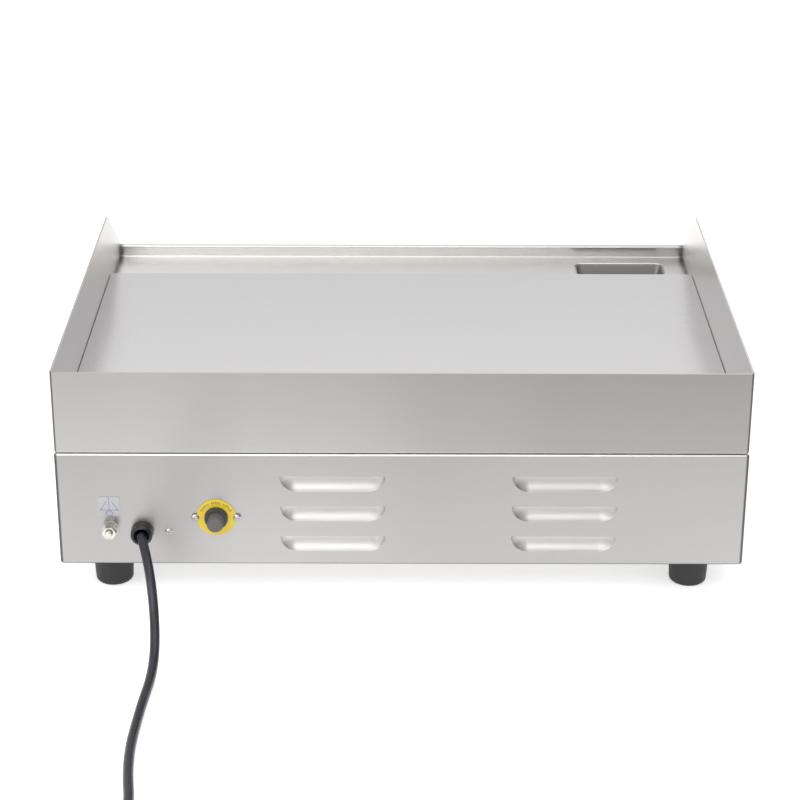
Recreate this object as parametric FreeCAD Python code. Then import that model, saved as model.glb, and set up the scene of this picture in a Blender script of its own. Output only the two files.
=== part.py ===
import FreeCAD, Part
import math
import os

# Electric counter-top griddle, millimetres, +Z up.
# Origin: middle of the footprint, on the surface the rubber feet stand on.
# The front (knob, lamps, drawer) faces -Y and the rear (mains lead, reset button) faces +Y.

# ---- driving dimensions -------------------------------------------------------------------
WIDTH = 550.0  # over the side walls
DEPTH = 430.0  # rear wall to the outer face of the front lip
FOOT_H = 33.6  # floor to the casing's lower edge
CASE_TOP = 132.2  # upper edge of the lower casing
DECK_Z = 133.0  # lower edge of the splash guard
GUARD_TOP = 202.4  # upper edge of the splash guard
LIP_TOP = 145.5  # upper edge of the grease gutter's lip
PLATE_T = 11.0  # cooking plate
PLATE_D = 351.0  # cooking plate, front to back
SHEET = 1.2  # casing sheet
GUARD_SHEET = 1.5  # guard and gutter sheet
GUARD_IN = 0.5  # guard's walls inside those of the casing
PLATE_GAP = 0.25  # cooking plate to the guard's sides
PLATE_EDGE_R = 0.7
REAR_OUT = 16.0  # reset button beyond the rear wall
FRONT_OUT = 30.0  # drawer handle beyond the lip

REAR = (DEPTH + FRONT_OUT - REAR_OUT) / 2  # outer face of the rear wall
LIP = REAR - DEPTH  # outer face of the lip
PANEL = LIP + 4.0  # outer face of the control panel
HALF = WIDTH / 2
GUARD_HALF = HALF - GUARD_IN
GUARD_REAR = REAR - GUARD_IN
PLATE_Z = DECK_Z + GUARD_SHEET  # underside of the cooking plate
PLATE_TOP = PLATE_Z + PLATE_T
PLATE_FRONT = REAR - PLATE_D - GUARD_SHEET
FLOOR_Z = FOOT_H + SHEET  # underside of the base plate
BASE_TOP = FLOOR_Z + SHEET

FLANGE = 15.0  # folded casing edges
GUARD_FLANGE = 12.0  # folded lower edge of the guard
CORNER_R = 3.0  # vertical bends
EDGE_R = 2.0  # casing's horizontal bends
GUARD_EDGE_R = 1.4  # guard's lower bend
GUTTER_ROOT_R = 0.9  # bend between the gutter's floor and its lip
GUTTER_LIP_R = 1.4

# rear wall layout: X, Z
RESET_AT = (148.0, 76.5)
GLAND_AT = (207.5, 63.7)
EARTH_AT = (232.6, 68.0)
BLOCK_SCREW_AT = (186.3, 63.3)
SYMBOL_AT = (233.2, 86.0)
SYMBOL_HALF = 8.5
BLOCK_AT = (186.3, 62.0)
EARTH_NUT_OUT = 12.6  # end of the outer nut, from the rear wall
RESET_SCREW_PITCH = 33.5
RESET_BORE = 6.5
RING_R = 15.9
RESET_TRAVEL = 2.5
LOUVRE_L = 84.5
LOUVRE_H = 13.5
LOUVRE_IN = 6.0
LOUVRE_X = (55.0, -130.0)
LOUVRE_TOP_Z = (113.0, 86.4, 59.4)

# control panel layout: X, Z
KNOB_AT = (130.0, 80.0)
LAMP_X = 62.0
LAMP_Z = (93.0, 67.0)

# grease path
SLOT_X = -209.5
SLOT_Y = REAR - 393.0
SLOT_L = 84.0
SLOT_W = 29.0
SLOT_R = 6.0
SLOT_RIM_R = 1.0
CHUTE_SHEET = 1.0
CHUTE_BOTTOM = 122.0
CHUTE_TAPER = 2.5  # each wall leans in by this much over the chute's height
DRAWER_W = 102.0
DRAWER_D = 168.0
DRAWER_Z = (48.0, 100.0)
DRAWER_X = SLOT_X
DRAWER_GAP = 0.4  # running gap round the drawer
HANDLE_HALF = 34.0  # half the distance between the handle's feet
HANDLE_Z = 76.0
HANDLE_R = 4.0

FOOT_X = 237.0
FOOT_INSET = 38.0
FOOT_Y = (LIP + FOOT_INSET + 4.0, REAR - FOOT_INSET)
FOOT_RECESS = 22.0  # depth of the hole for the foot's screw

# heating
ELEMENT_R = 4.0
ELEMENT_Y = (-78.0, 30.0, 138.0)
ELEMENT_LEG = 27.0  # half the distance between a hairpin's legs
ELEMENT_X = (-205.0, 213.0)
ELEMENT_Z = PLATE_Z - ELEMENT_R - 0.4
CLAMP_X = (-120.0, 20.0, 150.0)
CLAMP_T = 2.0
STUD_Y = (-24.0, 84.0)
SHIELD_Z = 105.5
BULB_L = 84.0
BULB_Z = PLATE_Z - 5.1
BLANKET_T = 10.0

# mains lead
CORD_D = 7.6
CORD_Z = CORD_D / 2 + 0.1
GLAND_OUT = 9.0
COIL_R = 45.0  # middle of the bundle of turns
COIL_AT = (141.0, 582.0)
LEAD_ROUTE = [
    (GLAND_AT[0], REAR + GLAND_OUT, GLAND_AT[1]),
    (198.5, 262.0, 58.0),
    (191.5, 292.0, 25.0),
    (189.0, 330.0, CORD_Z),
    (194.0, 388.0, CORD_Z),
    (196.0, 450.0, CORD_Z),
    (186.0, 512.0, CORD_Z),
    (189.8, 580.0, CORD_Z),
]
TAIL_ROUTE = [
    (143.0, 630.8, 11.5),
    (105.0, 632.0, 5.5),
    (64.0, 622.0, 7.5),
    (34.0, 612.0, 18.4),
    (12.0, 604.0, 18.8),
]
PLUG_YAW = 20.0
PLUG_LEN = 62.0


# ---- small helpers ------------------------------------------------------------------------
def vec(x, y, z):
    return FreeCAD.Vector(x, y, z)


def box(x0, x1, y0, y1, z0, z1):
    return Part.makeBox(x1 - x0, y1 - y0, z1 - z0, vec(x0, y0, z0))


def rod(radius, start, direction, length):
    return Part.makeCylinder(radius, length, vec(*start), vec(*direction))


def fuse(shapes):
    shapes = list(shapes)
    return shapes[0].multiFuse(shapes[1:]).removeSplitter() if len(shapes) > 1 else shapes[0]


def prism(points, direction):
    """A solid swept straight from a closed polygon."""
    wire = Part.makePolygon([vec(*p) for p in points + points[:1]])
    return Part.Face(wire).extrude(vec(*direction))


def rounded_box(x0, x1, y0, y1, z0, z1, radius, corners="all"):
    """A box with rounded vertical edges: all four, or only the two at the rear."""
    solid = box(x0, x1, y0, y1, z0, z1)
    edges = []
    for edge in solid.Edges:
        a, b = edge.Vertexes[0].Point, edge.Vertexes[1].Point
        if abs(a.z - b.z) > 1e-6 and (corners == "all" or a.y > (y0 + y1) / 2):
            edges.append(edge)
    return solid.makeFillet(radius, edges)


def fillet_where(solid, radius, test):
    """Rounds the edges whose ends and middle all pass the test."""
    edges = []
    for edge in solid.Edges:
        middle = edge.valueAt((edge.FirstParameter + edge.LastParameter) / 2)
        if all(test(p) for p in [v.Point for v in edge.Vertexes] + [middle]):
            edges.append(edge)
    return solid.makeFillet(radius, edges)


def fillet_along_x(solid, radius, places):
    """Rounds the long edges that run along X at the given (Y, Z) places."""
    edges = []
    for edge in solid.Edges:
        a, b = edge.Vertexes[0].Point, edge.Vertexes[-1].Point
        if abs(a.x - b.x) > 1 and any(abs(a.y - y) + abs(a.z - z) < 1e-6 for y, z in places):
            edges.append(edge)
    return solid.makeFillet(radius, edges)


def hex_prism(across, start, direction, length):
    """A hexagonal bar along one axis, with its outer end's corners chamfered."""
    base = [
        (across / math.sqrt(3) * math.cos(math.radians(60 * i)),
         across / math.sqrt(3) * math.sin(math.radians(60 * i)), 0)
        for i in range(6)
    ]
    bar = prism(base, (0, 0, length))
    cone = Part.makeCone(across * 0.5 + length * 1.6, across * 0.5, length, vec(0, 0, 0))
    return turn_to(bar.common(cone), start, direction)


def turn_to(shape, start, direction):
    """Moves a shape made along +Z from the origin to a start point and direction."""
    spin = FreeCAD.Rotation(vec(0, 0, 1), vec(*direction))
    shape.Placement = FreeCAD.Placement(vec(*start), spin)
    return shape


def revolve(profile, start=(0, 0, 0), direction=(0, 0, 1)):
    """A turned piece: (radius, height) points round +Z, then placed."""
    points = [vec(r, 0, h) for r, h in profile]
    face = Part.Face(Part.makePolygon(points + points[:1]))
    solid = face.revolve(vec(0, 0, 0), vec(0, 0, 1), 360)
    return turn_to(solid, start, direction)


def pan_screw(shank_r, head_r, head_h, length, start, direction):
    """A pan-head screw; start is the point under the head, direction points out of the head."""
    head = revolve([(0, 0), (head_r, 0), (head_r, head_h * 0.45), (head_r * 0.72, head_h * 0.9),
                    (head_r * 0.4, head_h), (0, head_h)])
    for angle in (0, 90):
        slot = box(-head_r * 0.55, head_r * 0.55, -head_r * 0.11, head_r * 0.11,
                   head_h * 0.5, head_h * 1.1)
        slot.rotate(vec(0, 0, 0), vec(0, 0, 1), angle)
        head = head.cut(slot)
    shank = rod(shank_r, (0, 0, -length), (0, 0, 1), length)
    return turn_to(fuse([head, shank]), start, direction)


def tube_along(route, diameter, name):
    """A round cord: straight runs joined by tangent arcs."""
    points = [vec(*p) for p in route]
    edges = []
    last = points[0]
    radii = []
    for before, corner, after in zip(points, points[1:], points[2:]):
        d_in = (corner - before).normalize()
        d_out = (after - corner).normalize()
        half = math.acos(max(-1, min(1, d_in.dot(d_out)))) / 2
        cut = 0.45 * min(before.distanceToPoint(corner), corner.distanceToPoint(after))
        radius = cut / math.tan(half)
        radii.append(round(radius, 1))
        start = corner - d_in * cut
        end = corner + d_out * cut
        inward = (d_out - d_in).normalize()
        middle = corner + inward * (radius / math.cos(half) - radius)
        edges.append(Part.LineSegment(last, start).toShape())
        edges.append(Part.Arc(start, middle, end).toShape())
        last = end
    edges.append(Part.LineSegment(last, points[-1]).toShape())
    path = Part.Wire(edges)
    ring = Part.makeCircle(diameter / 2, points[0], points[1] - points[0])
    tube = path.makePipeShell([Part.Wire(ring)], True, False)
    print(name, "radii", radii, "length", round(path.Length, 1), "volume ratio",
          round(tube.Volume / (math.pi * diameter ** 2 / 4 * path.Length), 4))
    return tube


# ---- casing -------------------------------------------------------------------------------
def louvre_bulge(grow, x_mid, z_top):
    """The rounded pocket of one louvre, pressed inwards and open along its top."""
    centre_in = (LOUVRE_H ** 2 - LOUVRE_IN ** 2) / (2 * LOUVRE_IN)
    radius = LOUVRE_IN + centre_in + grow
    half = LOUVRE_L / 2 - LOUVRE_H
    y = REAR + centre_in
    body = rod(radius, (x_mid - half, y, z_top), (1, 0, 0), 2 * half)
    ends = [Part.makeSphere(radius, vec(x_mid + s * half, y, z_top)) for s in (-1, 1)]
    reach = LOUVRE_L
    keep = box(x_mid - reach, x_mid + reach, REAR - reach, REAR, z_top - reach, z_top)
    return fuse([body] + ends).common(keep)


def rear_holes():
    """Everything that passes through the rear wall."""
    y, through = REAR - 5, 10
    holes = [rod(5.3, (RESET_AT[0], y, RESET_AT[1]), (0, 1, 0), through)]
    holes.append(rod(7.0, (GLAND_AT[0], y, GLAND_AT[1]), (0, 1, 0), through))
    holes.append(rod(3.0, (EARTH_AT[0], y, EARTH_AT[1]), (0, 1, 0), through))
    holes.append(rod(1.75, (BLOCK_SCREW_AT[0], y, BLOCK_SCREW_AT[1]), (0, 1, 0), through))
    for s in (-1, 1):
        at = (RESET_AT[0] + s * RESET_SCREW_PITCH / 2, y, RESET_AT[1])
        holes.append(rod(2.0, at, (0, 1, 0), through))
    return holes


def make_lower_casing():
    """Rear and side walls in one folded sheet, with louvres in the rear."""
    front = PANEL + SHEET
    outer = rounded_box(-HALF, HALF, front, REAR, FOOT_H, CASE_TOP, CORNER_R, "rear")
    inner = rounded_box(-HALF + SHEET, HALF - SHEET, front - 20, REAR - SHEET,
                        FOOT_H + SHEET, CASE_TOP - SHEET, CORNER_R - SHEET, "rear")
    window = box(-HALF + FLANGE, HALF - FLANGE, front - 20, REAR - FLANGE, 0, GUARD_TOP)
    outer = fillet_where(outer, EDGE_R, lambda p: abs(p.z - CASE_TOP) < 1e-6
                         and (abs(abs(p.x) - HALF) < CORNER_R + 0.01 or p.y > REAR - 0.01)
                         and not (p.y < front + 0.01 and abs(p.x) < HALF - 1))
    outer = fillet_where(outer, EDGE_R, lambda p: abs(p.z - FOOT_H) < 1e-6
                         and (abs(abs(p.x) - HALF) < CORNER_R + 0.01 or p.y > REAR - 0.01)
                         and not (p.y < front + 0.01 and abs(p.x) < HALF - 1))
    shell = outer.cut(inner).cut(window)
    for x in LOUVRE_X:
        for z in LOUVRE_TOP_Z:
            pocket = louvre_bulge(0, x, z)
            hood = louvre_bulge(SHEET, x, z).cut(pocket)
            shell = fuse([shell.cut(pocket), hood])
    for hole in rear_holes() + base_screw_holes():
        shell = shell.cut(hole)
    return shell


def base_screw_spots():
    return [(s * (HALF - 7.5), y) for s in (-1, 1) for y in (PANEL + 40, 20.0, REAR - 40)]


def base_screw_holes():
    return [rod(1.75, (x, y, FOOT_H - 5), (0, 0, 1), 12) for x, y in base_screw_spots()]


def make_base_plate():
    """Bottom sheet, lying on the casing's lower flange, with vent slots."""
    edge = SHEET + 0.3
    plate = rounded_box(-HALF + edge, HALF - edge, PANEL + SHEET + 0.3, REAR - edge,
                        FLOOR_Z, BASE_TOP, 2.0)
    for row in range(4):
        for col in range(7):
            x = -120 + col * 45
            y = -120 + row * 80
            slot = rounded_box(x - 14, x + 14, y - 3, y + 3, FLOOR_Z - 1, BASE_TOP + 1, 2.9)
            plate = plate.cut(slot)
    for x, y in foot_spots():
        plate = plate.cut(rod(2.5, (x, y, FLOOR_Z - 1), (0, 0, 1), 5))
    for hole in base_screw_holes():
        plate = plate.cut(hole)
    return plate


def make_base_screws():
    return [pan_screw(1.75, 3.2, 1.8, 6.0, (x, y, FOOT_H), (0, 0, -1))
            for x, y in base_screw_spots()]


def panel_holes():
    y, through = PANEL - 5, 12
    gap = 4.0
    opening = box(DRAWER_X - DRAWER_W / 2 - gap, DRAWER_X + DRAWER_W / 2 + gap,
                  y, y + through, DRAWER_Z[0] - 3, DRAWER_Z[1] + 3)
    holes = [opening, rod(5.5, (KNOB_AT[0], y, KNOB_AT[1]), (0, 1, 0), through)]
    for s in (-1, 1):
        holes.append(rod(2.0, (KNOB_AT[0] + s * 14, y, KNOB_AT[1]), (0, 1, 0), through))
    for z in LAMP_Z:
        holes.append(rod(6.0, (LAMP_X, y, z), (0, 1, 0), through))
    return holes


def make_control_panel():
    """Front sheet with folded upper and lower edges and the drawer's opening."""
    inset = HALF - FLANGE - 2
    face = box(-HALF, HALF, PANEL, PANEL + SHEET, FOOT_H, CASE_TOP)
    top = box(-inset, inset, PANEL + SHEET, PANEL + FLANGE, CASE_TOP - SHEET, CASE_TOP)
    low = box(-inset, inset, PANEL + SHEET, PANEL + FLANGE, FOOT_H, FLOOR_Z)
    panel = fuse([face, top, low])
    panel = fillet_where(panel, 1.0, lambda p: abs(p.y - PANEL) < 1e-6)
    for hole in panel_holes():
        panel = panel.cut(hole)
    return panel


def make_deck_gasket():
    """Heat-proof gasket between the hot deck and the casing; it shows as a shadow gap."""
    inset = 5.0
    width = 9.0
    outer = rounded_box(-HALF + inset, HALF - inset, PANEL + 2, REAR - inset,
                        CASE_TOP, DECK_Z, 2.0, "rear")
    inner = box(-HALF + inset + width, HALF - inset - width, PANEL + 2 + width,
                REAR - inset - width, CASE_TOP - 1, DECK_Z + 1)
    return outer.cut(inner)


# ---- hot deck -----------------------------------------------------------------------------
def make_splash_guard():
    """Rear and side walls round the cooking plate, sloping down at the front."""
    half, rear = GUARD_HALF, GUARD_REAR
    outer = rounded_box(-half, half, LIP, rear, DECK_Z, GUARD_TOP, CORNER_R, "rear")
    outer = fillet_where(outer, GUARD_EDGE_R, lambda p: abs(p.z - DECK_Z) < 1e-6
                         and (abs(abs(p.x) - half) < CORNER_R + 0.01 or p.y > rear - 0.01)
                         and not (p.y < LIP + 0.01 and abs(p.x) < half - 1))
    wall = half - GUARD_SHEET
    inner = rounded_box(-wall, wall, LIP - 20, rear - GUARD_SHEET,
                        DECK_Z + GUARD_SHEET, GUARD_TOP + 10, CORNER_R - GUARD_SHEET, "rear")
    window = box(-half + GUARD_FLANGE, half - GUARD_FLANGE, LIP - 20, rear - GUARD_FLANGE,
                 DECK_Z - 5, GUARD_TOP)
    front_flange = box(-wall, wall, LIP - 1, PLATE_FRONT + 12, DECK_Z - 1, DECK_Z + GUARD_SHEET)
    slope = prism([(-HALF - 1, LIP - 1, LIP_TOP + 2.5), (-HALF - 1, LIP + 2, LIP_TOP + 2.5),
                   (-HALF - 1, REAR - 351.0, GUARD_TOP), (-HALF - 1, REAR - 351.0, GUARD_TOP + 5),
                   (-HALF - 1, LIP - 1, GUARD_TOP + 5)], (WIDTH + 2, 0, 0))
    return outer.cut(inner).cut(window).cut(front_flange).cut(slope)


def make_grease_gutter():
    """Folded trough along the front: floor, upstand, rolled lip and drip apron."""
    t = GUARD_SHEET
    half = GUARD_HALF - t - 0.1
    rear = PLATE_FRONT + 11.5
    up = LIP + 4.5
    profile = [(rear, DECK_Z), (up, DECK_Z), (up, LIP_TOP - t), (LIP + t, LIP_TOP - t),
               (LIP + t, 127.0), (LIP, 127.0), (LIP, LIP_TOP), (up + t, LIP_TOP),
               (up + t, DECK_Z + t), (rear, DECK_Z + t)]
    gutter = prism([(-half, y, z) for y, z in profile], (2 * half, 0, 0))

    gutter = fillet_along_x(gutter, GUTTER_LIP_R, [(LIP, LIP_TOP), (up + t, LIP_TOP)])
    gutter = fillet_along_x(gutter, GUTTER_ROOT_R, [(up + t, DECK_Z + t)])
    slot = rounded_box(SLOT_X - SLOT_L / 2, SLOT_X + SLOT_L / 2, SLOT_Y - SLOT_W / 2,
                       SLOT_Y + SLOT_W / 2, DECK_Z - 1, DECK_Z + t + 1, SLOT_R)
    gutter = gutter.cut(slot)
    return fillet_where(gutter, SLOT_RIM_R, lambda p: abs(p.z - DECK_Z - t) < 1e-6
                        and abs(p.x - SLOT_X) < SLOT_L / 2 + 1e-6
                        and abs(p.y - SLOT_Y) < SLOT_W / 2 + 1e-6)


def make_griddle_plate():
    """Flat cooking plate, loose by a hair at the sides, with a softened front edge."""
    side = GUARD_HALF - GUARD_SHEET - PLATE_GAP
    plate = rounded_box(-side, side, PLATE_FRONT, GUARD_REAR - GUARD_SHEET - 0.3,
                        PLATE_Z, PLATE_TOP, 3.0)
    return fillet_where(plate, PLATE_EDGE_R, lambda p: abs(p.z - PLATE_TOP) < 1e-6)


def make_drain_chute():
    """Short funnel under the gutter's slot, letting grease drop into the drawer."""
    t = CHUTE_SHEET
    outer = chute_cone(0.0, CHUTE_BOTTOM, DECK_Z)
    inner = chute_cone(t, CHUTE_BOTTOM - 1, DECK_Z + 1)
    flange = rounded_box(SLOT_X - SLOT_L / 2 - 2, SLOT_X + SLOT_L / 2 + 2,
                         SLOT_Y - SLOT_W / 2 - 2, SLOT_Y + SLOT_W / 2 + 2,
                         DECK_Z - t, DECK_Z, SLOT_R)
    return fuse([outer, flange]).cut(inner)


def chute_cone(inset, low, high):
    """A tapered block through the slot, with rounded corners, between two heights."""
    sections = []
    for z in (low, high):
        lean = inset + CHUTE_TAPER * (DECK_Z - z) / (DECK_Z - CHUTE_BOTTOM)
        slab = rounded_box(SLOT_X - SLOT_L / 2 + lean, SLOT_X + SLOT_L / 2 - lean,
                           SLOT_Y - SLOT_W / 2 + lean, SLOT_Y + SLOT_W / 2 - lean,
                           z, z + 1, SLOT_R - inset)
        lowest = min(slab.Faces, key=lambda face: face.CenterOfMass.z)
        sections.append(lowest.OuterWire)
    return Part.makeLoft(sections, True, True)


# ---- drawer -------------------------------------------------------------------------------
def make_drawer_tray():
    """Open grease tray with folded-in rim."""
    t = CHUTE_SHEET
    x0, x1 = DRAWER_X - DRAWER_W / 2, DRAWER_X + DRAWER_W / 2
    y0, y1 = PANEL - DRAWER_GAP, PANEL - DRAWER_GAP + DRAWER_D
    z0, z1 = DRAWER_Z
    outer = box(x0, x1, y0, y1, z0, z1)
    outer = fillet_where(outer, 3.0, lambda p: p.z < z0 + 1e-6
                         or (p.z > z0 + 1 and p.y > y1 - 1e-6 and abs(p.z - z1) > 1e-6))
    inner = box(x0 + t, x1 - t, y0 + t, y1 - t, z0 + t, z1 + 1)
    inner = fillet_where(inner, 2.0, lambda p: p.z < z0 + t + 1e-6)
    tray = outer.cut(inner)
    for s in (-1, 1):
        tray = tray.cut(rod(2.0, (DRAWER_X + s * HANDLE_HALF, y0 - 1, HANDLE_Z), (0, 1, 0), 4))
    return tray


def make_drawer_front():
    """Cover plate that closes the drawer's opening, with folded edges."""
    y1 = PANEL - DRAWER_GAP
    side = DRAWER_W / 2 + 11
    plate = rounded_front(DRAWER_X - side, DRAWER_X + side, y1 - 2.0, y1,
                          DRAWER_Z[0] - 8, DRAWER_Z[1] + 12, 3.0)
    plate = fillet_where(plate, 0.8, lambda p: abs(p.y - y1 + 2.0) < 1e-6)
    for s in (-1, 1):
        plate = plate.cut(rod(2.0, (DRAWER_X + s * HANDLE_HALF, y1 - 5, HANDLE_Z), (0, 1, 0), 8))
    return plate


def rounded_front(x0, x1, y0, y1, z0, z1, radius):
    """A plate facing -Y with its four front corners rounded."""
    solid = box(x0, x1, y0, y1, z0, z1)
    edges = [e for e in solid.Edges
             if abs(e.Vertexes[0].Point.y - e.Vertexes[1].Point.y) > 1e-6]
    return solid.makeFillet(radius, edges)


def make_drawer_handle():
    """Bent round bar with two feet."""
    y0 = PANEL - DRAWER_GAP - 2.0
    y1 = LIP - FRONT_OUT + HANDLE_R
    r = 12.0
    x0, x1 = DRAWER_X - HANDLE_HALF, DRAWER_X + HANDLE_HALF
    k = r * (1 - math.sqrt(0.5))
    edges = [
        Part.LineSegment(vec(x0, y0, HANDLE_Z), vec(x0, y1 + r, HANDLE_Z)).toShape(),
        Part.Arc(vec(x0, y1 + r, HANDLE_Z), vec(x0 + k, y1 + k, HANDLE_Z),
                 vec(x0 + r, y1, HANDLE_Z)).toShape(),
        Part.LineSegment(vec(x0 + r, y1, HANDLE_Z), vec(x1 - r, y1, HANDLE_Z)).toShape(),
        Part.Arc(vec(x1 - r, y1, HANDLE_Z), vec(x1 - k, y1 + k, HANDLE_Z),
                 vec(x1, y1 + r, HANDLE_Z)).toShape(),
        Part.LineSegment(vec(x1, y1 + r, HANDLE_Z), vec(x1, y0, HANDLE_Z)).toShape(),
    ]
    ring = Part.Wire(Part.makeCircle(HANDLE_R, vec(x0, y0, HANDLE_Z), vec(0, -1, 0)))
    bar = Part.Wire(edges).makePipeShell([ring], True, False)
    feet = [rod(6.0, (x, y0, HANDLE_Z), (0, -1, 0), 2.5) for x in (x0, x1)]
    handle = fuse([bar] + feet)
    for x in (x0, x1):
        handle = handle.cut(rod(2.0, (x, y0 + 1, HANDLE_Z), (0, -1, 0), 7.0))
    return handle


def make_handle_screws():
    y = PANEL - DRAWER_GAP + CHUTE_SHEET
    return [pan_screw(2.0, 3.8, 2.0, 9.0, (DRAWER_X + s * HANDLE_HALF, y, HANDLE_Z), (0, 1, 0))
            for s in (-1, 1)]


def make_drawer_rails():
    """Two angle rails standing on the base plate, one each side of the tray."""
    rails = []
    y0, y1 = PANEL + 22.0, PANEL + DRAWER_D + 12
    for s in (-1, 1):
        wall = DRAWER_X + s * (DRAWER_W / 2 + 1.0)
        outer = wall + s * SHEET
        xs = sorted((wall, outer))
        upright = box(xs[0], xs[1], y0, y1, BASE_TOP, DRAWER_Z[0] + 14)
        shelf_in = wall - s * 9.0
        xs = sorted((shelf_in, outer))
        shelf = box(xs[0], xs[1], y0, y1, DRAWER_Z[0] - 0.4 - SHEET, DRAWER_Z[0] - 0.4)
        foot_in = outer + s * (2.4 if s < 0 else 9.0)
        xs = sorted((foot_in, wall))
        foot = box(xs[0], xs[1], y0, y1, BASE_TOP, BASE_TOP + SHEET)
        rails.append(fuse([upright, shelf, foot]))
    return rails


# ---- heating ------------------------------------------------------------------------------
def make_heating_elements():
    """Three hairpin sheathed elements under the plate, their ends turned down."""
    made = []
    x0, x1 = ELEMENT_X
    z = ELEMENT_Z
    r = ELEMENT_LEG
    down = 12.0
    k = down * (1 - math.sqrt(0.5))
    for y in ELEMENT_Y:
        a, b = y - r, y + r
        edges = [
            Part.LineSegment(vec(x1, a, z - 40), vec(x1, a, z - down)).toShape(),
            Part.Arc(vec(x1, a, z - down), vec(x1 - k, a, z - k), vec(x1 - down, a, z)).toShape(),
            Part.LineSegment(vec(x1 - down, a, z), vec(x0 + r, a, z)).toShape(),
            Part.Arc(vec(x0 + r, a, z), vec(x0, y, z), vec(x0 + r, b, z)).toShape(),
            Part.LineSegment(vec(x0 + r, b, z), vec(x1 - down, b, z)).toShape(),
            Part.Arc(vec(x1 - down, b, z), vec(x1 - k, b, z - k), vec(x1, b, z - down)).toShape(),
            Part.LineSegment(vec(x1, b, z - down), vec(x1, b, z - 40)).toShape(),
        ]
        ring = Part.Wire(Part.makeCircle(ELEMENT_R, vec(x1, a, z - 40), vec(0, 0, 1)))
        made.append(Part.Wire(edges).makePipeShell([ring], True, False))
    return made


def make_element_terminals():
    """Ceramic beads and threaded ends on the elements' cold ends."""
    made = []
    for y in ELEMENT_Y:
        for s in (-1, 1):
            top = ELEMENT_Z - 40
            bead = rod(4.5, (ELEMENT_X[1], y + s * ELEMENT_LEG, top - 5), (0, 0, 1), 5)
            pin = rod(1.8, (ELEMENT_X[1], y + s * ELEMENT_LEG, top - 17), (0, 0, 1), 12)
            made.append(fuse([bead, pin]))
    return made


def make_clamp_bars():
    """Flat bars that press the elements against the plate."""
    z = ELEMENT_Z - ELEMENT_R - CLAMP_T
    bars = []
    for x in CLAMP_X:
        bar = rounded_box(x - 10, x + 10, ELEMENT_Y[0] - 34, ELEMENT_Y[-1] + 34, z, z + CLAMP_T, 4)
        for y in STUD_Y:
            bar = bar.cut(rod(3.2, (x, y, z - 1), (0, 0, 1), CLAMP_T + 2))
        bars.append(bar)
    return bars


def make_clamp_studs():
    z = ELEMENT_Z - ELEMENT_R - CLAMP_T - 7.4
    return [rod(3.0, (x, y, z), (0, 0, 1), PLATE_Z - z) for x in CLAMP_X for y in STUD_Y]


def make_clamp_nuts():
    z = ELEMENT_Z - ELEMENT_R - CLAMP_T
    nuts = []
    for x in CLAMP_X:
        for y in STUD_Y:
            nut = hex_prism(10.0, (x, y, z), (0, 0, -1), 5.0)
            nuts.append(nut.cut(rod(3.0, (x, y, z - 8), (0, 0, 1), 10)))
    return nuts


def make_heat_shield():
    """Reflector tray that carries the insulation."""
    t = 0.8
    x0, x1, y0, y1 = -238.0, 196.0, -138.0, 200.0
    tray = box(x0, x1, y0, y1, SHIELD_Z, SHIELD_Z + 8)
    return tray.cut(box(x0 + t, x1 - t, y0 + t, y1 - t, SHIELD_Z + t, SHIELD_Z + 9))


def make_insulation_blanket():
    z = SHIELD_Z + 0.8
    pad = box(-236.0, 194.0, -136.0, 198.0, z, z + BLANKET_T)
    return fillet_where(pad, 3.0, lambda p: abs(p.z - z - BLANKET_T) < 1e-6)


def make_shield_pillars():
    spots = [(x, y) for x in (-138.0, 112.0) for y in (-126.0, 188.0)]
    return [hex_prism(8.0, (x, y, BASE_TOP), (0, 0, 1), SHIELD_Z - BASE_TOP) for x, y in spots]


# ---- controls -----------------------------------------------------------------------------
def make_thermostat_body():
    """Capillary thermostat behind the panel, with a bore for its shaft."""
    x, z = KNOB_AT
    y = PANEL + SHEET
    case = rounded_front(x - 18, x + 18, y, y + 30, z - 22, z + 22, 3.0)
    tabs = box(x - 12, x + 12, y + 30, y + 36, z - 16, z + 16)
    bore = rod(3.08, (x, y - 1, z), (0, 1, 0), 19)
    body = fuse([case, tabs]).cut(bore)
    for s in (-1, 1):
        body = body.cut(rod(2.0, (x + s * 14, y - 1, z), (0, 1, 0), 9))
    return body


def make_thermostat_screws():
    x, z = KNOB_AT
    return [pan_screw(2.0, 3.4, 1.6, SHEET + 1.0 + 6.0, (x + s * 14, PANEL - 1.0, z), (0, -1, 0))
            for s in (-1, 1)]


def make_thermostat_shaft():
    """Shaft with a flat, turning with the knob."""
    x, z = KNOB_AT
    start = PANEL + SHEET + 17.5
    shaft = rod(3.0, (x, start, z), (0, -1, 0), 33.0)
    flat = box(x - 4, x + 4, start - 34, start - 21, z + 1.6, z + 4)
    return shaft.cut(flat)


def make_dial_plate():
    """Round scale plate behind the knob."""
    x, z = KNOB_AT
    plate = rod(31.0, (x, PANEL, z), (0, -1, 0), 1.0)
    plate = fillet_where(plate, 0.4, lambda p: abs(p.y - PANEL + 1.0) < 1e-6)
    plate = plate.cut(rod(5.5, (x, PANEL + 1, z), (0, -1, 0), 5))
    for s in (-1, 1):
        plate = plate.cut(rod(2.0, (x + s * 14, PANEL + 1, z), (0, -1, 0), 5))
    return plate


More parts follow.
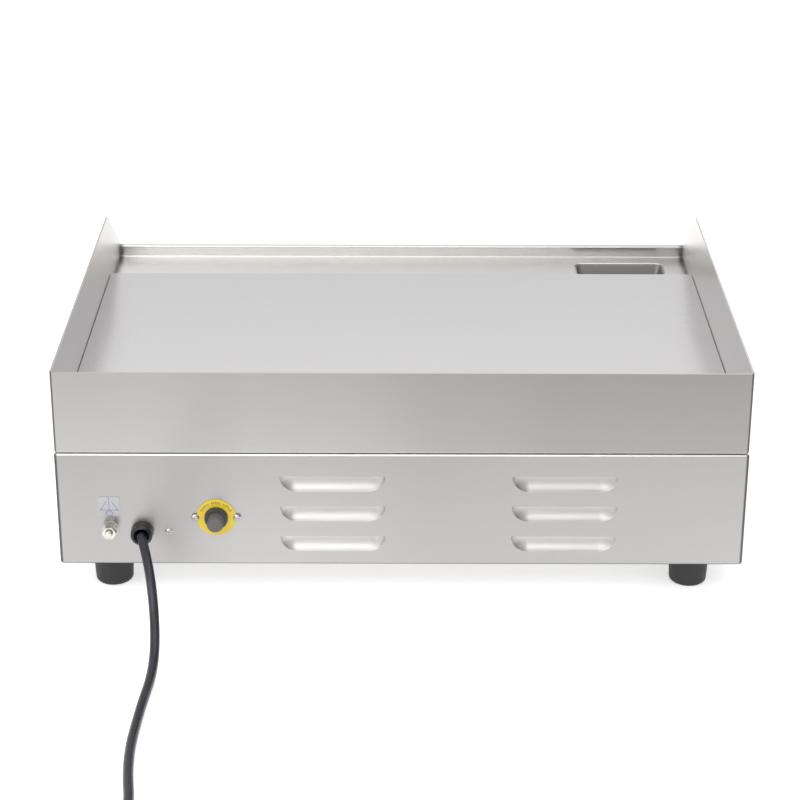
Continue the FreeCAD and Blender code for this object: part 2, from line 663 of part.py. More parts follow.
def make_control_knob():
    """Moulded knob: skirt, round body and a raised grip bar, hollow at the back."""
    skirt = [(0, 0), (22.5, 0), (23.0, 1.2), (22.4, 4.0), (19.6, 5.5), (18.8, 14.5),
             (17.6, 16.0), (0, 16.0)]
    body = revolve(skirt)
    bar = rounded_box(-5.0, 5.0, -19.0, 19.0, 10.0, 22.0, 4.6)
    bar = fillet_where(bar, 1.8, lambda p: abs(p.z - 22.0) < 1e-6)
    knob = fuse([body, bar])
    hollow = rod(18.2, (0, 0, -1), (0, 0, 1), 4.6)
    deep = Part.makeCone(16.0, 14.5, 9.0, vec(0, 0, 3.0))
    hub = rod(6.0, (0, 0, -1), (0, 0, 1), 14.0)
    knob = knob.cut(fuse([hollow, deep]).cut(hub))
    knob = turn_to(knob, (KNOB_AT[0], PANEL - 1.8, KNOB_AT[1]), (0, -1, 0))
    return knob.cut(make_thermostat_shaft())


def make_lamp_bezels():
    made = []
    for z in LAMP_Z:
        ring = revolve([(5.2, 0), (8.5, 0), (8.5, 1.0), (7.4, 2.4), (5.2, 2.4)],
                       (LAMP_X, PANEL, z), (0, -1, 0))
        made.append(ring)
    return made


def make_lamp_lens(z):
    """Moulded lens with a stepped dome."""
    return revolve([(0, -6.0), (5.2, -6.0), (5.2, 2.4), (5.0, 3.6), (4.2, 4.8), (2.6, 5.7), (0, 6.1)],
                   (LAMP_X, PANEL, z), (0, -1, 0))


def make_lamp_bodies():
    made = []
    for z in LAMP_Z:
        body = revolve([(5.2, 0), (6.0, 0), (6.0, -22.0), (0, -22.0), (0, -6.0), (5.2, -6.0)],
                       (LAMP_X, PANEL, z), (0, -1, 0))
        lugs = fuse([box(LAMP_X + s * 3 - 0.4, LAMP_X + s * 3 + 0.4, PANEL + 21, PANEL + 29,
                         z - 2.4, z + 2.4) for s in (-1, 1)] +
                    [box(LAMP_X - 3.4, LAMP_X + 3.4, PANEL + 20, PANEL + 21.5, z - 2.4, z + 2.4)])
        made.append(fuse([body, lugs]))
    return made


def make_capillary(points, name):
    """Thin copper tube from a thermostat to its sensing bulb, which lies along +X."""
    tube = tube_along(points, 2.0, name)
    bulb = rod(2.8, points[-1], (1, 0, 0), BULB_L)
    neck = Part.makeSphere(1.6, vec(*points[-1]))
    return fuse([tube, neck, bulb])


# ---- rear fittings ------------------------------------------------------------------------
def make_limiter_body():
    """Over-temperature limiter behind the rear wall, with the bore of its reset button."""
    x, z = RESET_AT
    y = REAR - SHEET
    case = rounded_front(x - 21, x + 21, y - 24, y, z - 14, z + 14, 3.0)
    tabs = box(x - 14, x + 14, y - 31, y - 24, z - 9, z + 9)
    bore = rod(3.6, (x, y + 1, z), (0, -1, 0), 10)
    body = fuse([case, tabs]).cut(bore)
    for s in (-1, 1):
        at = (x + s * RESET_SCREW_PITCH / 2, y + 1, z)
        body = body.cut(rod(2.0, at, (0, -1, 0), 7))
    return body


def make_reset_ring():
    """Yellow washer plate round the reset button."""
    x, z = RESET_AT
    ring = rod(RING_R, (x, REAR, z), (0, 1, 0), 0.8)
    ring = fillet_where(ring, 0.3, lambda p: abs(p.y - REAR - 0.8) < 1e-6)
    ring = ring.cut(rod(5.3, (x, REAR - 1, z), (0, 1, 0), 4))
    for s in (-1, 1):
        at = (x + s * RESET_SCREW_PITCH / 2, REAR - 1, z)
        ring = ring.cut(rod(2.0, at, (0, 1, 0), 4))
    return ring


def make_reset_screws():
    x, z = RESET_AT
    return [pan_screw(2.0, 3.0, 1.8, 7.0, (x + s * RESET_SCREW_PITCH / 2, REAR + 0.8, z),
                      (0, 1, 0)) for s in (-1, 1)]


def make_reset_bush():
    """Threaded collar that guides the reset cap."""
    x, z = RESET_AT
    return revolve([(3.6, -SHEET), (5.3, -SHEET), (5.3, 0.8), (9.3, 0.8), (9.3, 3.4), (8.7, 4.4),
                    (7.4, 4.8), (RESET_BORE, 4.8), (RESET_BORE, 1.6), (3.6, 1.6)],
                   (x, REAR, z), (0, 1, 0))


def make_reset_button():
    """Round cap on a stem; it springs back after a press."""
    x, z = RESET_AT
    gap = 0.08
    cap_r = RESET_BORE - gap
    low = 1.6 + RESET_TRAVEL + 0.3
    cap = revolve([(0, low), (cap_r, low), (cap_r, REAR_OUT - 2.4), (cap_r - 0.5, REAR_OUT - 1.2),
                   (cap_r - 1.6, REAR_OUT - 0.4), (cap_r - 3.4, REAR_OUT), (0, REAR_OUT)],
                  (x, REAR, z), (0, 1, 0))
    stem = rod(3.5, (x, REAR + low, z), (0, -1, 0), low + SHEET + 4.0)
    return fuse([cap, stem])


def make_earth_stud():
    """Stud for the bonding wire, with a groove between its nuts and its free end."""
    x, z = EARTH_AT
    groove = EARTH_NUT_OUT
    return revolve([(0, -14), (3.0, -14), (3.0, groove), (2.5, groove), (2.5, groove + 0.6),
                    (3.0, groove + 0.6), (3.0, REAR_OUT - 0.6), (2.4, REAR_OUT), (0, REAR_OUT)],
                   (x, REAR, z), (0, 1, 0))


def make_earth_nuts():
    """Nut inside and two nuts outside with a washer between, for a bonding wire."""
    x, z = EARTH_AT
    made = []
    for start, direction, across, length in (
        (REAR + 1.2, 1, 9.6, 4.6),
        (REAR + 7.2, 1, 10.0, EARTH_NUT_OUT - 7.2),
        (REAR - SHEET, -1, 10.0, 5.0),
    ):
        nut = hex_prism(across, (x, start, z), (0, direction, 0), length)
        made.append(nut.cut(rod(3.0, (x, REAR - 20, z), (0, 1, 0), 50)))
    return made


def make_earth_washers():
    x, z = EARTH_AT
    made = []
    for start, radius, thick in ((REAR, 5.6, 1.2), (REAR + 5.8, 5.9, 1.4)):
        disc = rod(radius, (x, start, z), (0, 1, 0), thick)
        made.append(disc.cut(rod(3.0, (x, start - 1, z), (0, 1, 0), thick + 2)))
    return made


def make_earth_symbol():
    """Small thin plate that carries the earth sign."""
    x, z = SYMBOL_AT
    return rounded_front(x - SYMBOL_HALF, x + SYMBOL_HALF, REAR, REAR + 0.3,
                         z - SYMBOL_HALF, z + SYMBOL_HALF, 2.0)


def make_cable_gland():
    """Rubber strain relief through the rear wall, slightly tapered outwards."""
    x, z = GLAND_AT
    outer = [(CORD_D / 2, GLAND_OUT - 5.0), (CORD_D / 2 + 2.6, GLAND_OUT), (8.0, GLAND_OUT),
             (8.7, GLAND_OUT - 1.0), (9.2, 0), (7.0, 0), (7.0, -SHEET), (8.4, -SHEET),
             (7.6, -13.0), (CORD_D / 2, -13.0)]
    return revolve(outer, (x, REAR, z), (0, 1, 0))


def make_power_cord():
    """Mains lead: through the gland, down to the floor and along it to the stored coil."""
    x, z = GLAND_AT
    start = vec(*LEAD_ROUTE[0])
    inside = rod(CORD_D / 2, (x, REAR - 30, z), (0, 1, 0), 30 + GLAND_OUT)
    bead = Part.makeSphere(CORD_D / 2, start)
    lead = tube_along(LEAD_ROUTE, CORD_D, "lead")
    tail = tube_along(TAIL_ROUTE, CORD_D, "tail")
    return [fuse([inside, bead, lead]), tail]


def make_cord_coil():
    """The rest of the lead, wound flat: two turns wide and two high."""
    x, y = COIL_AT
    size = CORD_D
    ring = Part.makeCylinder(COIL_R + size, 2 * size, vec(x, y, 0.1))
    ring = ring.cut(Part.makeCylinder(COIL_R - size, 3 * size, vec(x, y, -1)))
    return ring.makeFillet(size * 0.48, [e for e in ring.Edges if len(e.Vertexes) == 1])


def plug_placement():
    yaw = math.radians(PLUG_YAW)
    along = vec(-math.cos(yaw), -math.sin(yaw), 0)
    return FreeCAD.Placement(vec(*TAIL_ROUTE[-1]), FreeCAD.Rotation(vec(0, 0, 1), along))


def make_plug_body():
    """Round two-pin mains plug lying on its side: boot, grip and pin face."""
    end = PLUG_LEN
    profile = [(0, 0), (5.6, 0), (6.4, 6), (7.6, 18), (12.5, 26), (16.0, 34), (16.4, 40),
               (18.6, 42.5), (18.6, end - 1.5), (17.4, end), (0, end)]
    body = revolve(profile)
    for i in range(4):
        groove = revolve([(5.0, 4.0 + 3.6 * i), (9.0, 4.0 + 3.6 * i), (9.0, 5.6 + 3.6 * i),
                          (5.0, 5.6 + 3.6 * i)])
        body = body.cut(groove)
    for s in (-1, 1):
        flat = box(-30, 30, *sorted((s * 13.6, s * 30)), 28, end - 18)
        side = box(*sorted((s * 16.4, s * 30)), -3.0, 3.0, 41, end + 1)
        body = body.cut(flat).cut(side)
    body.Placement = plug_placement()
    return body


def make_plug_pins():
    pins = []
    for s in (-1, 1):
        pin = revolve([(0, 0), (2.4, 0), (2.4, 17.6), (1.9, 18.8), (1.0, 19.3), (0, 19.4)])
        pin.translate(vec(0, s * 9.5, PLUG_LEN))
        pin.Placement = plug_placement().multiply(pin.Placement)
        pins.append(pin)
    return pins


# ---- inside wiring ------------------------------------------------------------------------
def make_terminal_block():
    """Ceramic mains terminal block on a bracket behind the gland."""
    x, z = BLOCK_AT
    y0, y1 = REAR - 60.0, REAR - 42.0
    block = rounded_box(x - 24, x + 24, y0, y1, z - 9, z + 9, 2.0)
    for i in range(3):
        for y in (y0 + 5, y1 - 5):
            block = block.cut(rod(2.2, (x - 15 + i * 15, y, z + 3), (0, 0, 1), 10))
    return block


def make_block_bracket():
    """Angle bracket from the rear wall to the terminal block."""
    x = BLOCK_AT[0]
    y1 = REAR - SHEET
    upright = box(x - 7, x + 7, y1 - SHEET, y1, 45.0, 72.0)
    shelf = box(x - 7, x + 7, REAR - 60, y1, 51.8, 53.0)
    return fuse([upright, shelf]).cut(rod(1.75, (x, y1 - 5, BLOCK_SCREW_AT[1]), (0, 1, 0), 10))


def make_block_screw():
    x, z = BLOCK_SCREW_AT
    return pan_screw(1.75, 2.9, 1.7, 5.5, (x, REAR, z), (0, 1, 0))


def make_internal_wires():
    """Heat-proof leads from the block to the thermostat, the limiter and the elements."""
    routes = [
        [(171.3, 160, 60), (171.3, 120, 50), (150, 60, 44), (150, 0, 44), (135, -80, 50),
         (130, -164, 70)],
        [(186.3, 160, 60), (186.3, 130, 48), (200, 90, 48), (206, 60, 56)],
        [(201.3, 160, 60), (204, 140, 56), (220, 120, 50), (226, 70, 50), (214, 20, 58)],
    ]
    return [tube_along(r, 3.0, "wire") for r in routes]


# ---- feet ---------------------------------------------------------------------------------
def foot_spots():
    return [(s * FOOT_X, y) for y in FOOT_Y for s in (-1, 1)]


def make_rubber_feet():
    """Tapered moulded feet with a rounded rim, recessed for their screws."""
    feet = []
    for x, y in foot_spots():
        foot = Part.makeCone(15.2, 17.2, FLOOR_Z, vec(x, y, 0))
        foot = fillet_where(foot, 2.8, lambda p: p.z < 1e-6)
        foot = foot.cut(rod(5.2, (x, y, -1), (0, 0, 1), FOOT_RECESS + 1))
        feet.append(foot.cut(rod(2.5, (x, y, 0), (0, 0, 1), 40)))
    return feet


def make_foot_screws():
    return [pan_screw(2.5, 4.7, 3.0, FLOOR_Z - FOOT_RECESS + 7, (x, y, FOOT_RECESS), (0, 0, -1))
            for x, y in foot_spots()]


def make_foot_nuts():
    nuts = []
    for x, y in foot_spots():
        nut = hex_prism(8.0, (x, y, BASE_TOP), (0, 0, 1), 4.0)
        nuts.append(nut.cut(rod(2.5, (x, y, BASE_TOP - 1), (0, 0, 1), 8)))
    return nuts


def make_all():
    thermostat_tube = [(130, PANEL + 20, 102), (130, PANEL + 20, 116), (112, -150, 121),
                       (86, -118, 121), (82, -92, 124), (100, ELEMENT_Y[0], BULB_Z)]
    limiter_tube = [(154, REAR - 13, 90.5), (154, REAR - 13, 108), (146, 198, 121),
                    (116, 178, 121), (92, 154, 124), (104, ELEMENT_Y[2], BULB_Z)]
    return {
        "lower_casing": make_lower_casing(),
        "base_plate": make_base_plate(),
        "base_screws": make_base_screws(),
        "control_panel": make_control_panel(),
        "deck_gasket": make_deck_gasket(),
        "splash_guard": make_splash_guard(),
        "grease_gutter": make_grease_gutter(),
        "griddle_plate": make_griddle_plate(),
        "drain_chute": make_drain_chute(),
        "drawer_tray": make_drawer_tray(),
        "drawer_front": make_drawer_front(),
        "drawer_handle": make_drawer_handle(),
        "handle_screws": make_handle_screws(),
        "drawer_rails": make_drawer_rails(),
        "heating_elements": make_heating_elements(),
        "element_terminals": make_element_terminals(),
        "clamp_bars": make_clamp_bars(),
        "clamp_studs": make_clamp_studs(),
        "clamp_nuts": make_clamp_nuts(),
        "heat_shield": make_heat_shield(),
        "insulation_blanket": make_insulation_blanket(),
        "shield_pillars": make_shield_pillars(),
        "thermostat_body": make_thermostat_body(),
        "thermostat_screws": make_thermostat_screws(),
        "thermostat_shaft": make_thermostat_shaft(),
        "thermostat_capillary": make_capillary(thermostat_tube, "thermostat capillary"),
        "dial_plate": make_dial_plate(),
        "control_knob": make_control_knob(),
        "lamp_bezels": make_lamp_bezels(),
        "power_lamp_lens": make_lamp_lens(LAMP_Z[0]),
        "heating_lamp_lens": make_lamp_lens(LAMP_Z[1]),
        "lamp_bodies": make_lamp_bodies(),
        "limiter_body": make_limiter_body(),
        "limiter_capillary": make_capillary(limiter_tube, "limiter capillary"),
        "reset_ring": make_reset_ring(),
        "reset_screws": make_reset_screws(),
        "reset_bush": make_reset_bush(),
        "reset_button": make_reset_button(),
        "earth_stud": make_earth_stud(),
        "earth_nuts": make_earth_nuts(),
        "earth_washers": make_earth_washers(),
        "earth_symbol": make_earth_symbol(),
        "cable_gland": make_cable_gland(),
        "power_cord": make_power_cord(),
        "cord_coil": make_cord_coil(),
        "plug_body": make_plug_body(),
        "plug_pins": make_plug_pins(),
        "terminal_block": make_terminal_block(),
        "block_bracket": make_block_bracket(),
        "block_screw": make_block_screw(),
        "internal_wires": make_internal_wires(),
        "rubber_feet": make_rubber_feet(),
        "foot_screws": make_foot_screws(),
        "foot_nuts": make_foot_nuts(),
    }


os.makedirs("parts", exist_ok=True)
for node, made in make_all().items():
    shape = Part.makeCompound(made) if isinstance(made, list) else made
    shape.exportStep("parts/" + node + ".step")
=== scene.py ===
import math

import bmesh
import bpy
from mathutils import Matrix, Vector


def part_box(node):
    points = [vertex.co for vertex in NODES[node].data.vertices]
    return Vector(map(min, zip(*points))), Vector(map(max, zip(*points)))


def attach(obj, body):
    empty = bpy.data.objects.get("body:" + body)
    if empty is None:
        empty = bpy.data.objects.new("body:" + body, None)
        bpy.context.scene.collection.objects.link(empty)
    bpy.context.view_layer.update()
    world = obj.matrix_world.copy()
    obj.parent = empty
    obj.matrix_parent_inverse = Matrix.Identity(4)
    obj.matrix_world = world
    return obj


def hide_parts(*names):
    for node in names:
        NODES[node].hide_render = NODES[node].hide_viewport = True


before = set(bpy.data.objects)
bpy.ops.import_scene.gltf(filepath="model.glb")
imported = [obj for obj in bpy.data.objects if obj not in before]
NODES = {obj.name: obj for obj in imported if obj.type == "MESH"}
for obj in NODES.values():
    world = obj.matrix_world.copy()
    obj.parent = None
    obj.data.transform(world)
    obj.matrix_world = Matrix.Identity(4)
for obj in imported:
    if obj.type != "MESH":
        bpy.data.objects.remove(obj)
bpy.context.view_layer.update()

SCENE = bpy.context.scene
MM = 0.001
X, Y, Z = range(3)
UP = Vector((0, 0, 1))
TO_REAR = Vector((0, 1, 0))
TO_FRONT = Vector((0, -1, 0))

# ---- places, metres, in the shared frame -----------------------------------------------------
REAR_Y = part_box("lower_casing")[1].y  # outer face of the rear wall
HALF_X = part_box("lower_casing")[1].x  # outer face of the side walls
CASE_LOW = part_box("lower_casing")[0].z  # lower edge of the casing
PANEL_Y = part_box("control_panel")[0].y  # outer face of the control panel

CAM_BACK = 1.505  # behind the rear wall
CAM_SIDE = 0.0045
CAM_HEIGHT = 0.8876
CAM_DOWN = math.radians(22.49)
CAM_YAW = math.radians(0.104)
CAM_ROLL = math.radians(0.169)
CAM_LENS = 95.8  # millimetres, like the sensor's width
CAM_SENSOR = 36.0
CAM_SHIFT_Y = -0.125
CAM_NEAR = 0.05

CORD_D = 7.6 * MM
CORD_Z = CORD_D / 2 + 0.1 * MM  # middle of a cord that lies on the floor
GLAND_OUT = 9 * MM  # the gland beyond the rear wall
COIL_AT = (0.141, 0.582)
COIL_R = 0.045  # middle of the bundle of turns
COIL_TURNS = 3.25
COIL_STEPS = 16  # control points for each turn
LEAD = [  # from the gland to the coil
    (0.2075, REAR_Y + GLAND_OUT, 0.0637),
    (0.1985, 0.262, 0.058),
    (0.1915, 0.292, 0.025),
    (0.189, 0.330, CORD_Z),
    (0.194, 0.388, CORD_Z),
    (0.196, 0.450, CORD_Z),
    (0.186, 0.516, CORD_Z),
]
TAIL = [  # from the coil to the plug
    (0.105, 0.632, 0.0055),
    (0.064, 0.622, 0.0075),
    (0.034, 0.612, 0.0184),
    (0.012, 0.604, 0.0188),
]


def middle(node):
    """The middle of a node's box."""
    low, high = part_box(node)
    return (low + high) / 2


# ---- camera ----------------------------------------------------------------------------------
def make_camera():
    forward = Vector((-math.sin(CAM_YAW) * math.cos(CAM_DOWN),
                      -math.cos(CAM_YAW) * math.cos(CAM_DOWN), -math.sin(CAM_DOWN)))
    right = forward.cross(UP).normalized()
    up = right.cross(forward)
    roll = Matrix.Rotation(CAM_ROLL, 3, -forward)
    turn = Matrix((roll @ right, roll @ up, -forward)).transposed()
    place = Vector((CAM_SIDE, REAR_Y + CAM_BACK, CAM_HEIGHT))
    cam = bpy.data.objects.new("camera", bpy.data.cameras.new("camera"))
    SCENE.collection.objects.link(cam)
    cam.matrix_world = Matrix.Translation(place) @ turn.to_4x4()
    cam.data.lens = CAM_LENS
    cam.data.sensor_width = CAM_SENSOR
    cam.data.shift_y = CAM_SHIFT_Y
    cam.data.clip_start = CAM_NEAR
    SCENE.camera = cam


# ---- cord ------------------------------------------------------------------------------------
def coil_points():
    """The put-away turns: outer and inner below, then inner and outer on top of them."""
    outer, inner = COIL_R + CORD_D / 2, COIL_R - CORD_D / 2
    low, high = CORD_Z, CORD_Z + CORD_D
    end = COIL_TURNS * 360
    # each lane is (angle, radius, height); the cord eases from one to the next
    lanes = [(0, outer, low), (270, outer, low), (360, inner, low), (540, inner, low),
             (630, inner, high), (810, inner, high), (900, outer, high), (end, outer, high)]
    points = []
    steps = round(COIL_TURNS * COIL_STEPS)
    for i in range(steps):
        angle = end * i / steps
        (a0, r0, z0), (a1, r1, z1) = [
            pair for pair in zip(lanes, lanes[1:]) if pair[0][0] <= angle < pair[1][0]][0]
        t = (angle - a0) / (a1 - a0)
        t = t * t * (3 - 2 * t)
        r, z, a = r0 + (r1 - r0) * t, z0 + (z1 - z0) * t, math.radians(angle)
        points.append((COIL_AT[0] + r * math.cos(a), COIL_AT[1] + r * math.sin(a), z))
    return points


def make_cord():
    """The mains lead as one smooth line. Its points' radius is the cord's and the bevel is
    one metre, because a curve's box grows by its points' radius."""
    data = bpy.data.curves.new("power_lead", "CURVE")
    data.dimensions = "3D"
    data.bevel_depth = 1
    data.bevel_resolution = 6
    data.resolution_u = 8
    data.use_fill_caps = True
    points = LEAD + coil_points() + TAIL
    spline = data.splines.new("NURBS")
    spline.points.add(len(points) - 1)
    for point, place in zip(spline.points, points):
        point.co = (*place, 1)
        point.radius = CORD_D / 2
    spline.order_u = 3
    spline.use_endpoint_u = True
    spline.use_smooth = True
    lead = bpy.data.objects.new("power_lead", data)
    SCENE.collection.objects.link(lead)
    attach(lead, "chassis")
    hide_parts("power_cord", "cord_coil")
    make_plug_clips()
    make_cord_tie()
    data.materials.append(material_for("cord_rubber"))


# ---- material tools --------------------------------------------------------------------------
class Shader:
    """A Principled material with short ways to add procedural nodes to it."""

    def __init__(self, name, **sockets):
        self.material = bpy.data.materials.new(name)
        self.material.use_nodes = True
        self.tree = self.material.node_tree
        self.bsdf = self.tree.nodes["Principled BSDF"]
        self.object = self.add("ShaderNodeTexCoord").outputs["Object"]
        self.bumped = None
        for socket, value in sockets.items():
            self.put(socket.replace("_", " "), value)

    def put(self, socket, value):
        """A constant goes on the shader's own socket, and a node's output is linked to it."""
        self.give(self.bsdf.inputs[socket], value)

    def give(self, target, value):
        if isinstance(value, bpy.types.NodeSocket):
            self.tree.links.new(value, target)
        elif hasattr(value, "__len__") and len(value) == 3 and target.type == "RGBA":
            target.default_value = (*value, 1)
        else:
            target.default_value = value

    def add(self, kind, inputs=(), **settings):
        node = self.tree.nodes.new(kind)
        for key, value in settings.items():
            setattr(node, key, value)
        for key, value in dict(inputs).items():
            self.give(node.inputs[key], value)
        return node

    def math(self, operation, *values):
        node = self.add("ShaderNodeMath", enumerate(values), operation=operation)
        return node.outputs[0]

    def parts(self, vector):
        return self.add("ShaderNodeSeparateXYZ", {0: vector}).outputs

    def join(self, x, y, z):
        return self.add("ShaderNodeCombineXYZ", {0: x, 1: y, 2: z}).outputs[0]

    def stretch(self, vector, scale):
        return self.add("ShaderNodeMapping", {"Vector": vector, "Scale": scale}).outputs[0]

    def noise(self, scale, detail=3, vector=None, roughness=0.5, distortion=0.0):
        return self.add("ShaderNodeTexNoise", {
            "Vector": vector or self.object, "Scale": scale, "Detail": detail,
            "Roughness": roughness, "Distortion": distortion}).outputs[0]

    def remap(self, value, low, high, start=0.0, end=1.0, smooth=False):
        return self.add("ShaderNodeMapRange", {
            "Value": value, "From Min": start, "From Max": end, "To Min": low, "To Max": high,
        }, interpolation_type="SMOOTHSTEP" if smooth else "LINEAR").outputs[0]

    def mix(self, factor, a, b):
        node = self.add("ShaderNodeMix", data_type="RGBA")
        self.give(node.inputs["Factor"], factor)
        self.give(node.inputs["A"], a)
        self.give(node.inputs["B"], b)
        return node.outputs["Result"]

    def bump(self, height, distance, strength=1.0):
        inputs = {"Height": height, "Distance": distance, "Strength": strength}
        if self.bumped:
            inputs["Normal"] = self.bumped
        self.bumped = self.add("ShaderNodeBump", inputs).outputs[0]
        self.put("Normal", self.bumped)


NOISE_MID = (0.3, 0.7)  # a noise mostly keeps between these


def shade(colour, factor):
    return tuple(min(1.0, c * factor) for c in colour)


# ---- brushed steel ---------------------------------------------------------------------------
GRAIN_ALONG = 11.0  # noise cells per metre along the grain
GRAIN_ACROSS = 1500.0
BRUSHED = (0.0, 0.05, 1.0)  # tangent; its share of Y keeps it usable on level faces
FACES_AXIS = 0.7  # a face looks along an axis when its normal's share of it is above this
BEND_X = (3.2 * MM, 1.6 * MM)  # depths in from the side and the rear wall between which a bent rear corner takes painted shade
BEND_Y = (4.5 * MM, 1.5 * MM)  # a bent rear corner darkens
EDGE_Z = (0.7 * MM, 1.8 * MM)  # heights over the lower edge between which its painted shade fades
ENDS_X = (7 * MM, 3 * MM)  # depths in from the side walls between which the painted shade at the ends fades
# how dark the painted shade at the bends and at the ends is, as shares of the colour
BEND_SHADE = 0.12
ENDS_SHADE = 0.2


def steel_streaks(s, to_side):
    """Noise drawn out along the sheet's grain, which is level on every wall."""
    x, y, z = s.parts(s.object)
    elsewhere = s.math("SUBTRACT", 1.0, to_side)
    along = s.math("ADD", s.math("MULTIPLY", x, elsewhere), s.math("MULTIPLY", y, to_side))
    across = s.math("ADD", z, s.math("MULTIPLY", y, elsewhere))
    lines = s.join(s.math("MULTIPLY", along, GRAIN_ALONG),
                   s.math("MULTIPLY", across, GRAIN_ACROSS), to_side)
    coarse = s.noise(1.0, 3, lines, 0.6)
    fine = s.noise(2.7, 2, lines, 0.7)
    return s.math("ADD", s.math("MULTIPLY", coarse, 0.6), s.math("MULTIPLY", fine, 0.4))


def paint_bend_shade(s, surface_colour, colour, amount):
    """Paints shade on the two bent rear corners and the casing's lower edge."""
    x, y, z = s.parts(s.object)
    near_x = s.remap(s.math("ABSOLUTE", x), 0, 1, HALF_X - BEND_X[0], HALF_X - BEND_X[1], smooth=True)
    near_y = s.remap(y, 0, 1, REAR_Y - BEND_Y[0], REAR_Y - BEND_Y[1], smooth=True)
    low = s.remap(z, 1, 0, CASE_LOW + EDGE_Z[0], CASE_LOW + EDGE_Z[1], smooth=True)
    bends = s.math("MAXIMUM", s.math("MULTIPLY", near_x, near_y), low)
    return s.mix(s.math("MULTIPLY", bends, amount), surface_colour, shade(colour, BEND_SHADE))


def paint_end_shade(s, surface_colour, colour, amount):
    """Paints shade on the two ends, beside the side walls."""
    beside = s.math("ABSOLUTE", s.parts(s.object)[X])
    ends = s.remap(beside, 0, amount, HALF_X - ENDS_X[0], HALF_X - ENDS_X[1], smooth=True)
    return s.mix(ends, surface_colour, shade(colour, ENDS_SHADE))


def paint_light_by_ramps(s, surface_colour, facing, ramps, rear_ramps):
    """Paints light and shade: scales a colour by the product of its ramps; faces that look to the
    rear have their own.
    """
    place = s.parts(s.object)
    levels = []
    for chosen in (ramps, rear_ramps):
        level = 1.0
        for axis, (start, end), (low, high) in chosen:
            level = s.math("MULTIPLY", level, s.remap(place[axis], low, high, start, end))
        levels.append(level)
    to_rear = s.math("GREATER_THAN", facing[Y], FACES_AXIS)
    return s.add("ShaderNodeVectorMath", {0: surface_colour, "Scale": s.remap(to_rear, *levels)},
                 operation="SCALE").outputs[0]


def brushed_steel(name, colour, rough, grain=1.0, anisotropic=0.55, bend_shade_amount=0.0,
                  end_shade_amount=0.0, ramps=(), rear_ramps=()):
    """Stainless sheet with a level grain, faint clouding and, where asked, painted shade at the bends
    and ends. Each ramp (axis, (start, end), (low, high)) scales the colour along an axis, painting
    light and shade."""
    s = Shader(name, Metallic=1.0, Anisotropic=anisotropic)
    facing = s.parts(s.add("ShaderNodeTexCoord").outputs["Normal"])
    to_side = s.math("GREATER_THAN", s.math("ABSOLUTE", facing[X]), FACES_AXIS)
    streak = steel_streaks(s, to_side)
    cloud = s.noise(7.0, 4, roughness=0.55, distortion=0.4)
    tone = s.math("ADD", s.math("MULTIPLY", streak, 0.7), s.math("MULTIPLY", cloud, 0.3))
    spread = 0.015 + 0.03 * grain
    surface_colour = s.mix(s.remap(tone, 0, 1, *NOISE_MID), shade(colour, 1 - spread),
                  shade(colour, 1 + spread))
    # painted shade at the bends and ends, then painted light and shade from the ramps
    if bend_shade_amount:
        surface_colour = paint_bend_shade(s, surface_colour, colour, bend_shade_amount)
    if end_shade_amount:
        surface_colour = paint_end_shade(s, surface_colour, colour, end_shade_amount)
    if ramps or rear_ramps:
        surface_colour = paint_light_by_ramps(s, surface_colour, facing, ramps, rear_ramps)
    s.put("Base Color", surface_colour)
    s.put("Roughness", s.math("ADD", s.remap(streak, -0.05 * grain, 0.05 * grain, *NOISE_MID),
                              s.remap(cloud, rough - 0.025, rough + 0.025, *NOISE_MID)))
    s.put("Tangent", s.join(*BRUSHED))
    s.bump(streak, 0.02 * MM * grain, 0.35)
    s.bump(s.noise(5.0, 1), 0.5 * MM, 0.12)
    return s.material


# ---- other materials -------------------------------------------------------------------------
HAIR_CELLS = (300, 2600, 900)  # noise cells per metre along X, Y and Z
HAIR_ROUGH = 0.05  # what a hairline adds to the roughness
WOOL_CELLS = (260, 260, 1600)
DIAL_CELLS = 5200.0  # per metre out from the dial's middle
LENS_WAVE = 5200.0  # radians per metre
WEAVE_WAVE = 4200.0
WORN_TONE = 0.35  # what rubber and plastic fade towards where they are rubbed
WORN_SHARE = 0.3  # and how far
HEAT_TINT = (0.32, 0.25, 0.2)


def bright_metal(name, colour, rough):
    """Plated or polished metal with hairline marks and a little haze."""
    s = Shader(name, Metallic=1.0)
    hair = s.noise(1.0, 2, s.stretch(s.object, HAIR_CELLS), 0.7)
    haze = s.noise(160.0, 3)
    s.put("Base Color", s.mix(s.remap(haze, 0, 1, 0.3, 0.75), shade(colour, 0.86), colour))
    s.put("Roughness", s.math("ADD", s.remap(hair, 0, HAIR_ROUGH, 0.45, 0.75),
                              s.remap(haze, rough * 0.75, rough * 1.25, *NOISE_MID)))
    s.bump(hair, 0.01 * MM, 0.5)
    return s.material


def galvanised_sheet(name, colour, rough):
    """Zinc with flat spangles a few millimetres across."""
    s = Shader(name, Metallic=1.0)
    cells = s.add("ShaderNodeTexVoronoi", {"Vector": s.object, "Scale": 240.0})
    tone = s.parts(cells.outputs["Color"])[0]
    s.put("Base Color", s.mix(tone, shade(colour, 0.8), shade(colour, 1.1)))
    s.put("Roughness", s.remap(tone, rough - 0.1, rough + 0.12))
    s.bump(s.noise(900.0, 2), 0.03 * MM, 0.4)
    return s.material


